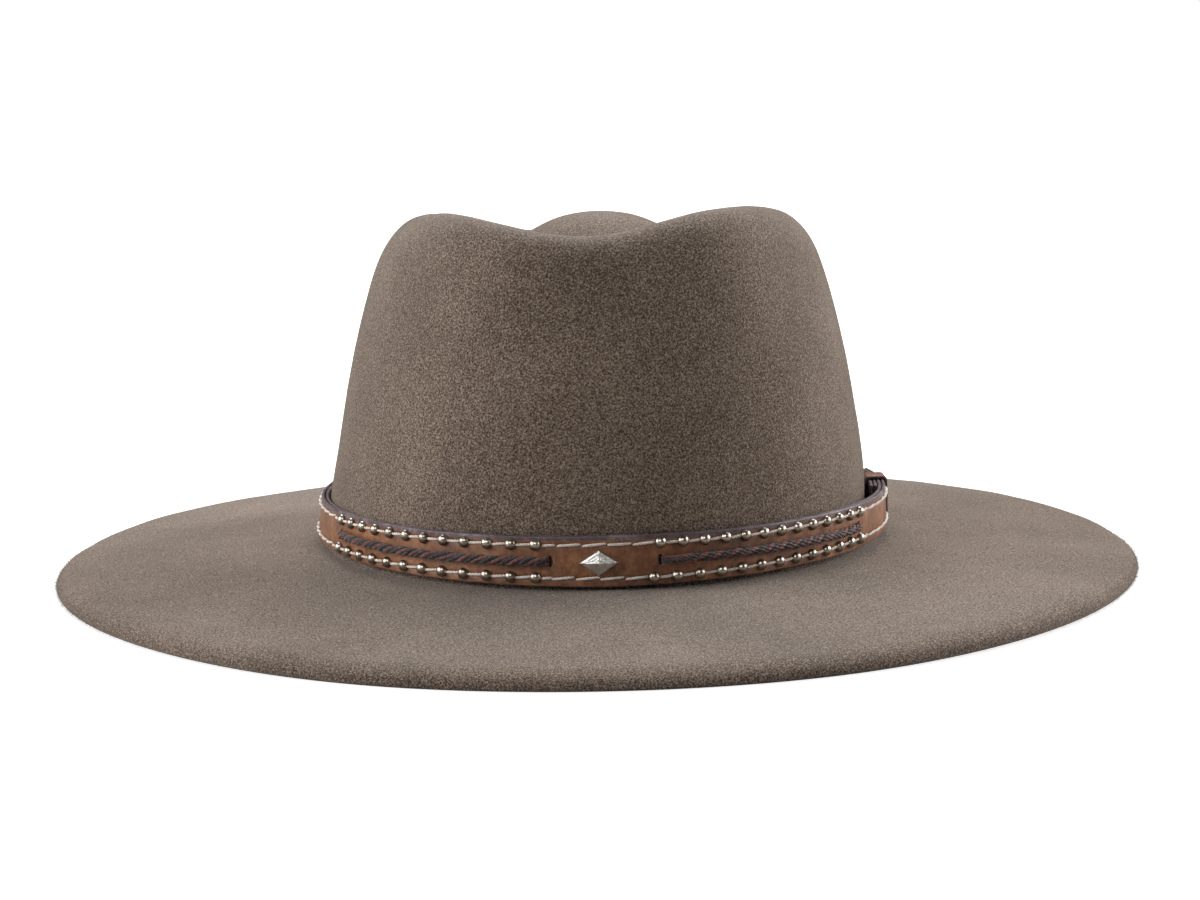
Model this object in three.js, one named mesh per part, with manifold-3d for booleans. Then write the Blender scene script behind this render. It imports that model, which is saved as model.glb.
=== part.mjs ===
import * as THREE from 'three';
import { mergeVertices } from 'three/addons/utils/BufferGeometryUtils.js';
import Module from 'manifold-3d';

// Wide-brimmed felt hat with a teardrop crown and a leather band.
// Millimetres, +Z up. The front looks toward -Y and the wearer's left side is at +X.
// z = 0 is the surface that the brim's edge rests on, under the middle of the brim.

// Brim
const BRIM_WIDTH = 350;
const BRIM_LENGTH = 389;
const BRIM_POWER = 2.0;
const SIDE_RISE = 1.6;
const SIDE_RISE_START = 0.3;
const BRIM_FELT = 3.0;

// Crown
const CROWN_FELT = 2.5;
const BREAK_HEIGHT = 13.2;
const BREAK_RADIUS = 1.5;
const CROWN_SHIFT = 1.1;
const CROWN_LEAN = 1.4;
const RIDGE_HEIGHT = 118.5;
const RIDGE_FALL = 0.108;
const RIDGE_SINK = 0.00125;

// Dent in the top of the crown: a groove round a raised island, open at the front lip
const DENT_SIDE = 10.5;
const DENT_FRONT = 15.0;
const DENT_BACK = 7.0;
const DENT_PLACE = 1.45;
const LIP_DIP = 9.0;
const LIP_PLACE = -3;
const LIP_REACH = 54;
const LIP_START = 0.35;

// Soft hollows beside the front of the crown, where it is held
const PINCH_DEPTH = 3.0;
const PINCH_ANGLE = THREE.MathUtils.degToRad(42);
const PINCH_SPREAD = THREE.MathUtils.degToRad(38);
const PINCH_RISE = 0.74;
const PINCH_REACH = 0.5;

// Leather strap of the band
const FIT_GAP = 0.3;
const WALL_GAP = 0.5;
const STRAP_MIDDLE = 22.1;
const STRAP_HEIGHT_FRONT = 15.6;
const STRAP_HEIGHT_END = 12.2;
const STRAP_TAPER = THREE.MathUtils.degToRad(97);
const LINING_THICK = 1.1;
const FACE_THICK = 1.0;
const STRAP_THICK = LINING_THICK + FIT_GAP + FACE_THICK;
const EDGE_ROUND = 0.4;
const TAIL_START = THREE.MathUtils.degToRad(-6.5);
const LAP_END = THREE.MathUtils.degToRad(379);
const LAP_RAMP = THREE.MathUtils.degToRad(50);
const LAP_FULL = THREE.MathUtils.degToRad(350);
const STRAP_STEPS = 86;
const ANGLE_STEP = 0.01;

// Keeper loop on the wearer's left
const KEEPER_ANGLE = THREE.MathUtils.degToRad(4.7);
const KEEPER_WIDTH = 9.0;
const KEEPER_WALL = 0.9;
const KEEPER_PRESS = 1.9;
const KEEPER_PRESS_FULL = 0.35;
const KEEPER_SPREAD = THREE.MathUtils.degToRad(50);
const KEEPER_PRESS_RISE = 0.3;
const TAIL_OFFSET = FIT_GAP + KEEPER_WALL + FIT_GAP;
const LAP_OFFSET = TAIL_OFFSET + STRAP_THICK + FIT_GAP;

// Studs, concho and lacings, placed by their distance along the band from its front centre
const STUD_RADIUS = 1.8;
const STUD_HEIGHT = 1.5;
const STUD_SHOULDER_RADIUS = 1.4;
const STUD_SHOULDER_HEIGHT = 1.0;
const STUD_SIDES = 10;
const CONCHO_PLACE = -0.6;
const CONCHO_DROP = -0.4;
const CONCHO_HALF_WIDTH = 5.0;
const CONCHO_HALF_HEIGHT = 3.1;
const CONCHO_BASE = 0.5;
const CONCHO_BEVEL = 0.8;
const LACING_RADIUS = 1.6;
const LACINGS = [
  { side: 'left', from: -106.8, to: -15.4 },
  { side: 'right', from: 18.2, to: 103.4 },
];
const LACING_STEP = 4;
const LACING_SIDES = 8;
const SLIT_WIDTH = 1.5;
const SLIT_HEIGHT = 3.4;

// Rows of studs: how many, where the first one is along the band, the pitch from one to the next, and the
// height above the middle of the band at the first and at the last stud
const STUD_ROWS = [
  { name: 'left_top', count: 12, first: -20.0, pitch: -7.87, firstHeight: 5.0, lastHeight: 4.4 },
  { name: 'left_bottom', count: 12, first: -19.9, pitch: -7.97, firstHeight: -4.9, lastHeight: -4.5 },
  { name: 'right_top', count: 13, first: 18.3, pitch: 7.13, firstHeight: 5.2, lastHeight: 4.4 },
  { name: 'right_bottom', count: 13, first: 16.0, pitch: 7.26, firstHeight: -5.3, lastHeight: -3.9 },
];

// Columns round the felt body
const COLUMNS = 56;

// Crown wall from its foot (rise 0) to the ridge of its top (rise 1). side, front and back are how far the
// wall stands from the crown's axis, centre is where the section's widest place lies behind that axis, and
// power is the section's exponent (2 is an ellipse).
const CROWN_SECTIONS = [
  { rise: 0.000, side: 88.4, front: 104.4, back: 104.4, centre: 0.0, power: 2.00 },
  { rise: 0.070, side: 87.9, front: 104.1, back: 104.0, centre: 0.4, power: 2.00 },
  { rise: 0.168, side: 86.8, front: 103.4, back: 103.0, centre: 1.0, power: 2.01 },
  { rise: 0.283, side: 84.6, front: 102.2, back: 101.4, centre: 1.8, power: 2.03 },
  { rise: 0.394, side: 82.7, front: 100.8, back: 99.4, centre: 2.8, power: 2.05 },
  { rise: 0.524, side: 80.4, front: 99.0, back: 96.6, centre: 4.0, power: 2.08 },
  { rise: 0.649, side: 77.7, front: 96.8, back: 93.2, centre: 5.4, power: 2.11 },
  { rise: 0.736, side: 75.3, front: 94.9, back: 90.3, centre: 6.4, power: 2.14 },
  { rise: 0.832, side: 72.3, front: 92.4, back: 86.4, centre: 7.6, power: 2.18 },
  { rise: 0.909, side: 68.8, front: 89.6, back: 82.4, centre: 8.6, power: 2.22 },
  { rise: 0.958, side: 64.6, front: 86.6, back: 78.6, centre: 9.3, power: 2.26 },
  { rise: 0.988, side: 60.2, front: 82.6, back: 74.0, centre: 9.8, power: 2.29 },
  { rise: 1.000, side: 54.5, front: 77.4, back: 68.4, centre: 10.0, power: 2.30 },
];

// Rings of the crown's top, as shares of the ridge's radius
const TOP_RINGS = [0.13, 0.27, 0.41, 0.53, 0.63, 0.73, 0.82, 0.90, 0.96];

// Flat of the brim: share of the way from the break to the start of the rolled edge, and height
const BRIM_ROWS = [
  { share: 0.12, height: 12.6 },
  { share: 0.30, height: 11.5 },
  { share: 0.55, height: 9.7 },
  { share: 0.80, height: 7.7 },
];

// Rolled edge of the brim, over the top, round the rim and back below: distance in from the outline, height
const RIM_ROWS = [
  { inset: 9.0, height: 6.3 },
  { inset: 6.0, height: 5.7 },
  { inset: 3.6, height: 4.9 },
  { inset: 1.7, height: 3.9 },
  { inset: 0.5, height: 2.9 },
  { inset: 0.0, height: 1.9 },
  { inset: 0.4, height: 0.8 },
  { inset: 1.4, height: 0.0 },
  { inset: 2.9, height: 0.0 },
  { inset: 5.6, height: 1.6 },
];

// End of a lacing, from inside its slit to its full section: distance past the slit, centre's distance off
// the leather, half height and half thickness
const LACING_TUCK = [
  { past: 0.0, off: -0.8, high: 1.4, thick: 0.45 },
  { past: 0.0, off: 0.1, high: 1.4, thick: 0.45 },
  { past: 0.6, off: 1.2, high: 1.5, thick: 0.7 },
  { past: 2.0, off: 1.7, high: 1.6, thick: 1.2 },
  { past: 4.2, off: LACING_RADIUS + FIT_GAP, high: LACING_RADIUS, thick: LACING_RADIUS },
];

const COLOURS = {
  felt: 0x5c5045,
  face: 0x7a4b30,
  lining: 0x3f2d2b,
  metal: 0x9a8f80,
  silver: 0xb4b1ab,
  lacing: 0x3b1f1c,
};

// Small tools

function bump(x) {
  return Math.abs(x) < 1 ? Math.cos((Math.PI / 2) * x) ** 2 : 0;
}

function gauge(angle, halfWidth, halfLength, power) {
  const across = Math.abs(Math.cos(angle)) / halfWidth;
  const along = Math.abs(Math.sin(angle)) / halfLength;
  return (across ** power + along ** power) ** (-1 / power);
}

function turned(angle, centre) {
  return Math.atan2(Math.sin(angle - centre), Math.cos(angle - centre));
}

// Closed body through rings of points, ending in a tip at each end
function loft(rings, tips = [middle(rings[0]), middle(rings[rings.length - 1])]) {
  const sides = rings[0].length;
  const points = [...rings.flat(), ...tips];
  const faces = [];
  for (let here = 0; here < (rings.length - 1) * sides; here += sides) {
    const next = here + sides;
    for (let k = 0; k < sides; k += 1) {
      const beside = (k + 1) % sides;
      faces.push(here + k, here + beside, next + beside);
      faces.push(here + k, next + beside, next + k);
    }
  }
  const tip = rings.length * sides;
  const end = tip - sides;
  for (let k = 0; k < sides; k += 1) {
    const beside = (k + 1) % sides;
    faces.push(tip, beside, k);
    faces.push(tip + 1, end + k, end + beside);
  }
  const geometry = new THREE.BufferGeometry().setFromPoints(points);
  geometry.setIndex(faces);
  geometry.computeVertexNormals();
  return geometry;
}

function middle(ring) {
  const sum = ring.reduce((total, point) => total.add(point), new THREE.Vector3());
  return sum.divideScalar(ring.length);
}

// Crown

function sectionAt(rise) {
  const above = CROWN_SECTIONS.findIndex((row) => row.rise >= rise);
  if (above <= 0) return CROWN_SECTIONS[0];
  const low = CROWN_SECTIONS[above - 1];
  const high = CROWN_SECTIONS[above];
  const share = (rise - low.rise) / (high.rise - low.rise);
  const mixed = {};
  for (const name of Object.keys(low)) mixed[name] = low[name] + share * (high[name] - low[name]);
  return mixed;
}

function pressedIn(angle, rise) {
  const fromFront = Math.abs(turned(angle, -Math.PI / 2));
  const pinch = bump((fromFront - PINCH_ANGLE) / PINCH_SPREAD) * bump((rise - PINCH_RISE) / PINCH_REACH);
  const fromKeeper = Math.abs(turned(angle, KEEPER_ANGLE)) / KEEPER_SPREAD;
  const keeper = 1 - THREE.MathUtils.smoothstep(fromKeeper, KEEPER_PRESS_FULL, 1);
  return PINCH_DEPTH * pinch + KEEPER_PRESS * keeper * bump(rise / KEEPER_PRESS_RISE);
}

function sectionPoint(angle, section, outward = 0) {
  const ahead = Math.sin(angle) < 0;
  const halfLength = ahead ? section.front + section.centre : section.back - section.centre;
  const radius = gauge(angle, section.side, halfLength, section.power)
    - pressedIn(angle, section.rise) + outward;
  const x = CROWN_SHIFT + CROWN_LEAN * section.rise + radius * Math.cos(angle);
  const y = section.centre + radius * Math.sin(angle);
  return new THREE.Vector3(x, y, 0);
}

function topPoint(angle, share) {
  const ridge = CROWN_SECTIONS[CROWN_SECTIONS.length - 1];
  const centre = new THREE.Vector3(CROWN_SHIFT + CROWN_LEAN, ridge.centre, 0);
  const point = centre.clone().lerp(sectionPoint(angle, ridge), share);
  const ahead = Math.max(0, -Math.sin(angle)) ** 2;
  const behind = Math.max(0, Math.sin(angle)) ** 2;
  const depth = DENT_SIDE + (DENT_FRONT - DENT_SIDE) * ahead + (DENT_BACK - DENT_SIDE) * behind;
  const groove = Math.sin(Math.PI * share ** DENT_PLACE) ** 2;
  const lip = LIP_DIP * bump((point.x - LIP_PLACE) / LIP_REACH) * ahead;
  const reach = THREE.MathUtils.smoothstep(share, LIP_START, 1);
  const ridgeHeight = RIDGE_HEIGHT - RIDGE_FALL * point.y - RIDGE_SINK * Math.max(0, point.y) ** 2;
  point.z = ridgeHeight - depth * groove - lip * reach;
  return point;
}

function wallPoint(angle, section) {
  const foot = BREAK_HEIGHT + BREAK_RADIUS;
  const point = sectionPoint(angle, section);
  point.z = foot + section.rise * (topPoint(angle, 1).z - foot);
  return point;
}

function wallAtHeight(angle, height) {
  const foot = BREAK_HEIGHT + BREAK_RADIUS;
  const rise = Math.max(0, (height - foot) / (topPoint(angle, 1).z - foot));
  const point = sectionPoint(angle, sectionAt(rise));
  point.z = height;
  return point;
}

// Brim

function breakPoint(angle, turn) {
  const outward = BREAK_RADIUS * (1 - Math.cos(turn));
  const point = sectionPoint(angle, CROWN_SECTIONS[0], outward);
  point.z = BREAK_HEIGHT + BREAK_RADIUS * (1 - Math.sin(turn));
  return point;
}

function sideRise(angle) {
  return SIDE_RISE * THREE.MathUtils.smoothstep(Math.abs(Math.cos(angle)), SIDE_RISE_START, 1);
}

function rimPoint(angle, inset, height) {
  const radius = gauge(angle, BRIM_WIDTH / 2, BRIM_LENGTH / 2, BRIM_POWER);
  const rim = new THREE.Vector3(radius * Math.cos(angle), radius * Math.sin(angle), 0);
  const inward = breakPoint(angle, Math.PI / 2).setZ(0).sub(rim).normalize();
  return rim.addScaledVector(inward, inset).setZ(height + sideRise(angle));
}

function brimPoint(angle, row) {
  const start = breakPoint(angle, Math.PI / 2);
  const end = rimPoint(angle, RIM_ROWS[0].inset, RIM_ROWS[0].height);
  return start.lerp(end, row.share).setZ(row.height + sideRise(angle) * row.share);
}

// Felt body: the outside from the middle of the crown to the rim, and back inside at the felt's thickness

function feltRings() {
  const makers = [];
  for (const share of TOP_RINGS) makers.push({ felt: CROWN_FELT, at: (a) => topPoint(a, share) });
  for (const section of [...CROWN_SECTIONS].reverse()) {
    makers.push({ felt: CROWN_FELT, at: (a) => wallPoint(a, section) });
  }
  for (const turn of [Math.PI / 4, Math.PI / 2]) {
    makers.push({ felt: CROWN_FELT, at: (a) => breakPoint(a, turn) });
  }
  for (const row of BRIM_ROWS) makers.push({ felt: BRIM_FELT, at: (a) => brimPoint(a, row) });
  for (const row of RIM_ROWS) {
    makers.push({ felt: BRIM_FELT, at: (a) => rimPoint(a, row.inset, row.height) });
  }
  return makers.map(({ felt, at }) => {
    const ring = [];
    for (let k = 0; k < COLUMNS; k += 1) ring.push(at(-(k / COLUMNS) * Math.PI * 2));
    return { felt, ring };
  });
}

function insideRing(rings, index) {
  const { felt, ring } = rings[index];
  const before = rings[Math.max(0, index - 1)].ring;
  const after = rings[index + 1].ring;
  return ring.map((point, k) => {
    const around = ring[(k + 1) % COLUMNS].clone().sub(ring[(k + COLUMNS - 1) % COLUMNS]);
    const down = after[k].clone().sub(before[k]);
    const normal = around.cross(down).normalize();
    return point.clone().addScaledVector(normal, -felt);
  });
}

function feltBody() {
  const rings = feltRings();
  const rolled = rings.length - RIM_ROWS.length;
  const outside = rings.map((entry) => entry.ring);
  const inside = [];
  for (let index = rolled; index >= 1; index -= 2) inside.push(insideRing(rings, index));
  const top = topPoint(0, 0);
  const tips = [top, top.clone().setZ(top.z - CROWN_FELT)];
  return loft([...outside, ...inside], tips);
}

// Band strap

// How far the strap's inner side stands off the crown: close to the felt, wider where the keeper passes
// behind the tail, and past the tail where the outer end laps over it
function strapOffset(angle) {
  const tail = 1 - THREE.MathUtils.smoothstep(angle, KEEPER_SPREAD * KEEPER_PRESS_FULL, KEEPER_SPREAD);
  const lap = THREE.MathUtils.smoothstep(angle, LAP_FULL - LAP_RAMP, LAP_FULL);
  return WALL_GAP + (TAIL_OFFSET - WALL_GAP) * tail + (LAP_OFFSET - WALL_GAP) * lap;
}

function strapHalfHeight(angle) {
  const share = Math.min(1, Math.abs(turned(angle, -Math.PI / 2)) / STRAP_TAPER);
  return (STRAP_HEIGHT_FRONT + (STRAP_HEIGHT_END - STRAP_HEIGHT_FRONT) * share) / 2;
}

// Frame of the crown's wall behind the strap: its middle, and the directions along, up and out
function wallFrame(angle) {
  const low = wallAtHeight(angle, STRAP_MIDDLE - STRAP_HEIGHT_END / 2);
  const high = wallAtHeight(angle, STRAP_MIDDLE + STRAP_HEIGHT_END / 2);
  const before = wallAtHeight(angle - ANGLE_STEP, low.z);
  const along = wallAtHeight(angle + ANGLE_STEP, low.z).sub(before).normalize();
  const up = high.clone().sub(low).normalize();
  const out = along.clone().cross(up).normalize();
  return { origin: low.lerp(high, 0.5), along, up, out };
}

function strapPoint(angle, thick, height) {
  const frame = wallFrame(angle);
  return frame.origin.clone()
    .addScaledVector(frame.out, strapOffset(angle) + thick)
    .addScaledVector(frame.up, height);
}

// One leather of the strap, from a section whose points lie on its lower (-1) or upper (1) edge
function strapLayer(section) {
  const rings = [];
  for (let k = 0; k <= STRAP_STEPS; k += 1) {
    const angle = TAIL_START + (k / STRAP_STEPS) * (LAP_END - TAIL_START);
    const half = strapHalfHeight(angle);
    rings.push(section.map(({ thick, edge, inset }) => strapPoint(angle, thick, edge * (half - inset))));
  }
  return loft(rings);
}

function bandLining() {
  return strapLayer([
    { thick: 0, edge: -1, inset: 0 },
    { thick: 0, edge: 1, inset: EDGE_ROUND },
    { thick: EDGE_ROUND, edge: 1, inset: 0 },
    { thick: LINING_THICK, edge: 1, inset: 0 },
    { thick: LINING_THICK, edge: -1, inset: 0 },
  ]);
}

function bandFace() {
  const inner = LINING_THICK + FIT_GAP;
  return strapLayer([
    { thick: inner, edge: -1, inset: 0 },
    { thick: inner, edge: 1, inset: 0 },
    { thick: STRAP_THICK - EDGE_ROUND, edge: 1, inset: 0 },
    { thick: STRAP_THICK, edge: 1, inset: EDGE_ROUND },
    { thick: STRAP_THICK, edge: -1, inset: EDGE_ROUND },
    { thick: STRAP_THICK - EDGE_ROUND, edge: -1, inset: 0 },
  ]);
}

// Places on the face of the band, by distance along it from the front centre

const FACE_SAMPLES = 720;
const FACE_SWEEP = Math.PI * 1.1;
const FACE_TRACK = faceTrack();

function faceTrack() {
  const front = Math.PI * 1.5;
  const track = [];
  let length = 0;
  let before = null;
  for (let k = 0; k <= FACE_SAMPLES; k += 1) {
    const angle = front + (k / FACE_SAMPLES - 0.5) * FACE_SWEEP;
    const point = strapPoint(angle, STRAP_THICK, 0);
    if (before) length += point.distanceTo(before);
    track.push({ angle, length });
    before = point;
  }
  const start = track[FACE_SAMPLES / 2].length;
  return track.map((entry) => ({ angle: entry.angle, length: entry.length - start }));
}

function faceAngle(distance) {
  const above = FACE_TRACK.findIndex((entry) => entry.length >= distance);
  const low = FACE_TRACK[above - 1];
  const high = FACE_TRACK[above];
  const share = (distance - low.length) / (high.length - low.length);
  return low.angle + share * (high.angle - low.angle);
}

function faceFrame(distance, height = 0) {
  const angle = faceAngle(distance);
  const origin = strapPoint(angle, STRAP_THICK, height);
  const before = strapPoint(angle - ANGLE_STEP, STRAP_THICK, height);
  const along = strapPoint(angle + ANGLE_STEP, STRAP_THICK, height).sub(before).normalize();
  const { up } = wallFrame(angle);
  up.addScaledVector(along, -up.dot(along)).normalize();
  const out = along.clone().cross(up).normalize();
  return { origin, along, up, out };
}

// Trim

function studShape() {
  const profile = [
    new THREE.Vector2(0, 0),
    new THREE.Vector2(STUD_RADIUS, 0),
    new THREE.Vector2(STUD_SHOULDER_RADIUS, STUD_SHOULDER_HEIGHT),
    new THREE.Vector2(0, STUD_HEIGHT),
  ];
  return new THREE.LatheGeometry(profile, STUD_SIDES).rotateX(Math.PI / 2);
}

function conchoShape() {
  const lozenge = new THREE.Shape();
  lozenge.moveTo(CONCHO_HALF_WIDTH, 0);
  lozenge.lineTo(0, CONCHO_HALF_HEIGHT);
  lozenge.lineTo(-CONCHO_HALF_WIDTH, 0);
  lozenge.lineTo(0, -CONCHO_HALF_HEIGHT);
  lozenge.closePath();
  return new THREE.ExtrudeGeometry(lozenge, {
    depth: CONCHO_BASE,
    bevelThickness: CONCHO_BEVEL,
    bevelSize: CONCHO_BEVEL,
    bevelSegments: 1,
  });
}

function lacingShape({ from, to }) {
  const tuck = LACING_TUCK.map((row) => ({ ...row, at: from + row.past }));
  const end = [...LACING_TUCK].reverse().map((row) => ({ ...row, at: to - row.past }));
  const full = LACING_TUCK[LACING_TUCK.length - 1];
  const reach = to - from - 2 * full.past;
  const steps = Math.round(reach / LACING_STEP);
  const run = [];
  for (let k = 1; k < steps; k += 1) run.push({ ...full, at: from + full.past + (k / steps) * reach });
  const rows = [...tuck, ...run, ...end].map((row) => {
    const frame = faceFrame(row.at);
    const centre = frame.origin.clone().addScaledVector(frame.out, row.off);
    return { ...row, frame, centre };
  });
  return loft(rows.map((row, k) => {
    const before = rows[Math.max(0, k - 1)].centre;
    const after = rows[Math.min(rows.length - 1, k + 1)].centre;
    const ahead = after.clone().sub(before).normalize();
    const aside = ahead.clone().cross(row.frame.up).normalize();
    const ring = [];
    for (let n = 0; n < LACING_SIDES; n += 1) {
      const turn = ((n + 0.5) / LACING_SIDES) * Math.PI * 2;
      ring.push(row.centre.clone()
        .addScaledVector(row.frame.up, row.high * Math.cos(turn))
        .addScaledVector(aside, row.thick * Math.sin(turn)));
    }
    return ring;
  }));
}

// Boolean cuts

const wasm = await Module();
wasm.setup();

function solidOf(geometry) {
  const bare = geometry.clone();
  bare.deleteAttribute('normal');
  bare.deleteAttribute('uv');
  const merged = mergeVertices(bare, 1e-4);
  return new wasm.Manifold(new wasm.Mesh({
    numProp: 3,
    vertProperties: Float32Array.from(merged.getAttribute('position').array),
    triVerts: Uint32Array.from(merged.index.array),
  }));
}

function geometryOf(solid) {
  const mesh = solid.getMesh();
  const geometry = new THREE.BufferGeometry();
  geometry.setAttribute('position', new THREE.BufferAttribute(Float32Array.from(mesh.vertProperties), 3));
  geometry.setIndex(new THREE.BufferAttribute(Uint32Array.from(mesh.triVerts), 1));
  geometry.computeVertexNormals();
  return geometry;
}

function basis({ along, up, out }) {
  return new THREE.Matrix4().makeBasis(along, up, out);
}

function slitBox(distance) {
  const frame = faceFrame(distance);
  const box = new THREE.BoxGeometry(SLIT_WIDTH, SLIT_HEIGHT, FACE_THICK * 3);
  box.applyMatrix4(basis(frame).setPosition(frame.origin));
  return solidOf(box);
}

function slitFace() {
  let face = solidOf(bandFace());
  for (const lacing of LACINGS) {
    face = face.subtract(slitBox(lacing.from));
    face = face.subtract(slitBox(lacing.to));
  }
  return geometryOf(face);
}

// Loop of the keeper, its width along z: a bar with rounded edges less the space that the straps pass through
function keeperShape() {
  const inner = TAIL_OFFSET - FIT_GAP;
  const outer = LAP_OFFSET + STRAP_THICK + FIT_GAP;
  const high = strapHalfHeight(KEEPER_ANGLE) + FIT_GAP;
  const bar = new THREE.Shape();
  bar.absarc(outer, high, KEEPER_WALL, 0, Math.PI / 2);
  bar.absarc(inner, high, KEEPER_WALL, Math.PI / 2, Math.PI);
  bar.absarc(inner, -high, KEEPER_WALL, Math.PI, Math.PI * 1.5);
  bar.absarc(outer, -high, KEEPER_WALL, Math.PI * 1.5, Math.PI * 2);
  const solid = new THREE.ExtrudeGeometry(bar, { depth: KEEPER_WIDTH, bevelEnabled: false, curveSegments: 3 });
  const space = new THREE.BoxGeometry(outer - inner, high * 2, KEEPER_WIDTH * 2);
  space.translate((inner + outer) / 2, 0, KEEPER_WIDTH / 2);
  return geometryOf(solidOf(solid).subtract(solidOf(space)));
}

// Assembly

const hat = new THREE.Group();

function finish(color, roughness, metalness) {
  return new THREE.MeshStandardMaterial({ color, roughness, metalness });
}

function add(name, geometry, material, frame = null, height = 0) {
  const mesh = new THREE.Mesh(geometry, material);
  mesh.name = name;
  if (frame) {
    mesh.quaternion.setFromRotationMatrix(basis(frame));
    mesh.position.copy(frame.origin).addScaledVector(frame.out, height);
  }
  hat.add(mesh);
  return mesh;
}

add('felt_body', feltBody(), finish(COLOURS.felt, 0.95, 0));
add('band_lining', bandLining(), finish(COLOURS.lining, 0.7, 0));
add('band_face', slitFace(), finish(COLOURS.face, 0.55, 0));

const keeperWall = wallFrame(KEEPER_ANGLE);
const keeper = add('keeper', keeperShape(), finish(COLOURS.face, 0.55, 0));
keeper.quaternion.setFromRotationMatrix(new THREE.Matrix4().makeBasis(
  keeperWall.out,
  keeperWall.up,
  keeperWall.along.clone().negate(),
));
keeper.position.copy(keeperWall.origin).addScaledVector(keeperWall.along, KEEPER_WIDTH / 2);

const conchoFrame = faceFrame(CONCHO_PLACE, CONCHO_DROP);
add('concho', conchoShape(), finish(COLOURS.silver, 0.35, 1), conchoFrame, FIT_GAP + CONCHO_BEVEL);

for (const lacing of LACINGS) {
  add(`lacing_${lacing.side}`, lacingShape(lacing), finish(COLOURS.lacing, 0.8, 0));
}

for (const { name, count, first, pitch, firstHeight, lastHeight } of STUD_ROWS) {
  for (let k = 0; k < count; k += 1) {
    const height = firstHeight + (k / (count - 1)) * (lastHeight - firstHeight);
    const frame = faceFrame(first + k * pitch, height);
    const number = String(k + 1).padStart(2, '0');
    add(`stud_${name}_${number}`, studShape(), finish(COLOURS.metal, 0.35, 1), frame, FIT_GAP);
  }
}

export default hat;
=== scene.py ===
# %% [markdown]
# A felt hat, dressed in Blender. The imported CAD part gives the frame: a wide brim, a teardrop crown and a
# leather band. This lesson builds the same pieces again with the detail that a render needs: soft felt with
# a raw, hairy edge, leather with dyed edges, white stitching, twisted lacings and small metal domes.
# Everything is in metres, in the same place as the CAD part.

# %% Load the frame
import math

import bmesh
import bpy
import numpy as np
from mathutils import Matrix, Vector, noise


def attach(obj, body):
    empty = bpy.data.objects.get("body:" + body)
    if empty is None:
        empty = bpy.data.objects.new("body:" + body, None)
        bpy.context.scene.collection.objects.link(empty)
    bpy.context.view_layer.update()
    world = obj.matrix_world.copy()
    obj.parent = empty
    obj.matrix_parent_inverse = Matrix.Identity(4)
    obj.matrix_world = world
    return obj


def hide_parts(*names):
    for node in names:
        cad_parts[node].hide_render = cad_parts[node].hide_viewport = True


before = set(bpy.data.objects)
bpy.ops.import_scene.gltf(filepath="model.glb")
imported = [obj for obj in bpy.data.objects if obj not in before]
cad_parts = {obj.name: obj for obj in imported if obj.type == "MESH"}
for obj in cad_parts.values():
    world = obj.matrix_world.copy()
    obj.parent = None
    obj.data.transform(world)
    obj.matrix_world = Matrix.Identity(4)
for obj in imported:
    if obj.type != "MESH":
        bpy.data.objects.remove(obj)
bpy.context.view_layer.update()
MM = 0.001

# %% [markdown]
# The camera stands a little over the brim and looks at the front of the hat, from 1.4 m away. It is turned
# slightly about its own axis, as a camera held by hand is. Its direction is worked out from the place that
# the middle of the brim has in the picture, so the picture needs no lens shift.

# %% Camera
PICTURE = (1200, 900)
BRIM_MIDDLE_AT = (597.14, 572.54)
PIXELS_PER_MM = 3.0653
CAMERA_DISTANCE = 1.4
CAMERA_ELEVATION = math.radians(10.064)
CAMERA_ROLL = math.radians(1.104)
SENSOR_WIDTH = 36.0
CLIP_NEAR, CLIP_FAR = 0.05, 50


def make_camera():
    focal_pixels = PIXELS_PER_MM * CAMERA_DISTANCE / MM
    away = Vector((0, -math.cos(CAMERA_ELEVATION), math.sin(CAMERA_ELEVATION)))
    right = Vector((1, 0, 0))
    up = right.cross(-away)
    rolled_right = right * math.cos(CAMERA_ROLL) - up * math.sin(CAMERA_ROLL)
    rolled_up = right * math.sin(CAMERA_ROLL) + up * math.cos(CAMERA_ROLL)
    aside = PICTURE[0] / 2 - BRIM_MIDDLE_AT[0]
    above = BRIM_MIDDLE_AT[1] - PICTURE[1] / 2
    look = (-away * focal_pixels + rolled_right * aside + rolled_up * above).normalized()
    side = look.cross(rolled_up).normalized()
    top = side.cross(look)
    data = bpy.data.cameras.new("camera")
    data.sensor_width = SENSOR_WIDTH
    data.lens = focal_pixels / PICTURE[0] * SENSOR_WIDTH
    data.clip_start, data.clip_end = CLIP_NEAR, CLIP_FAR
    camera = bpy.data.objects.new("camera", data)
    turned_round = Matrix((side, top, -look)).transposed().to_4x4()
    camera.matrix_world = Matrix.Translation(away * CAMERA_DISTANCE) @ turned_round
    bpy.context.scene.collection.objects.link(camera)
    bpy.context.scene.camera = camera
    print("camera lens", round(data.lens, 1), "mm")


make_camera()

# %% [markdown]
# The hat lies on a plain white table in a studio. Large soft lights stand on both sides of the hat and over
# it, a little behind. Almost no light comes from the camera's side, so the front of the crown stays dark and
# both flanks are bright. Each light's place is given by the angle round the hat, counted from the camera, and
# the angle above the table. A weak light near the camera shows only in reflections, so it wakes up the metal
# and leaves the felt dark. The table is one large disc, and the room behind it is plain white. Materials are
# built from nodes, so two helpers come first: one adds a node, the other joins the sockets of several.

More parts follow.
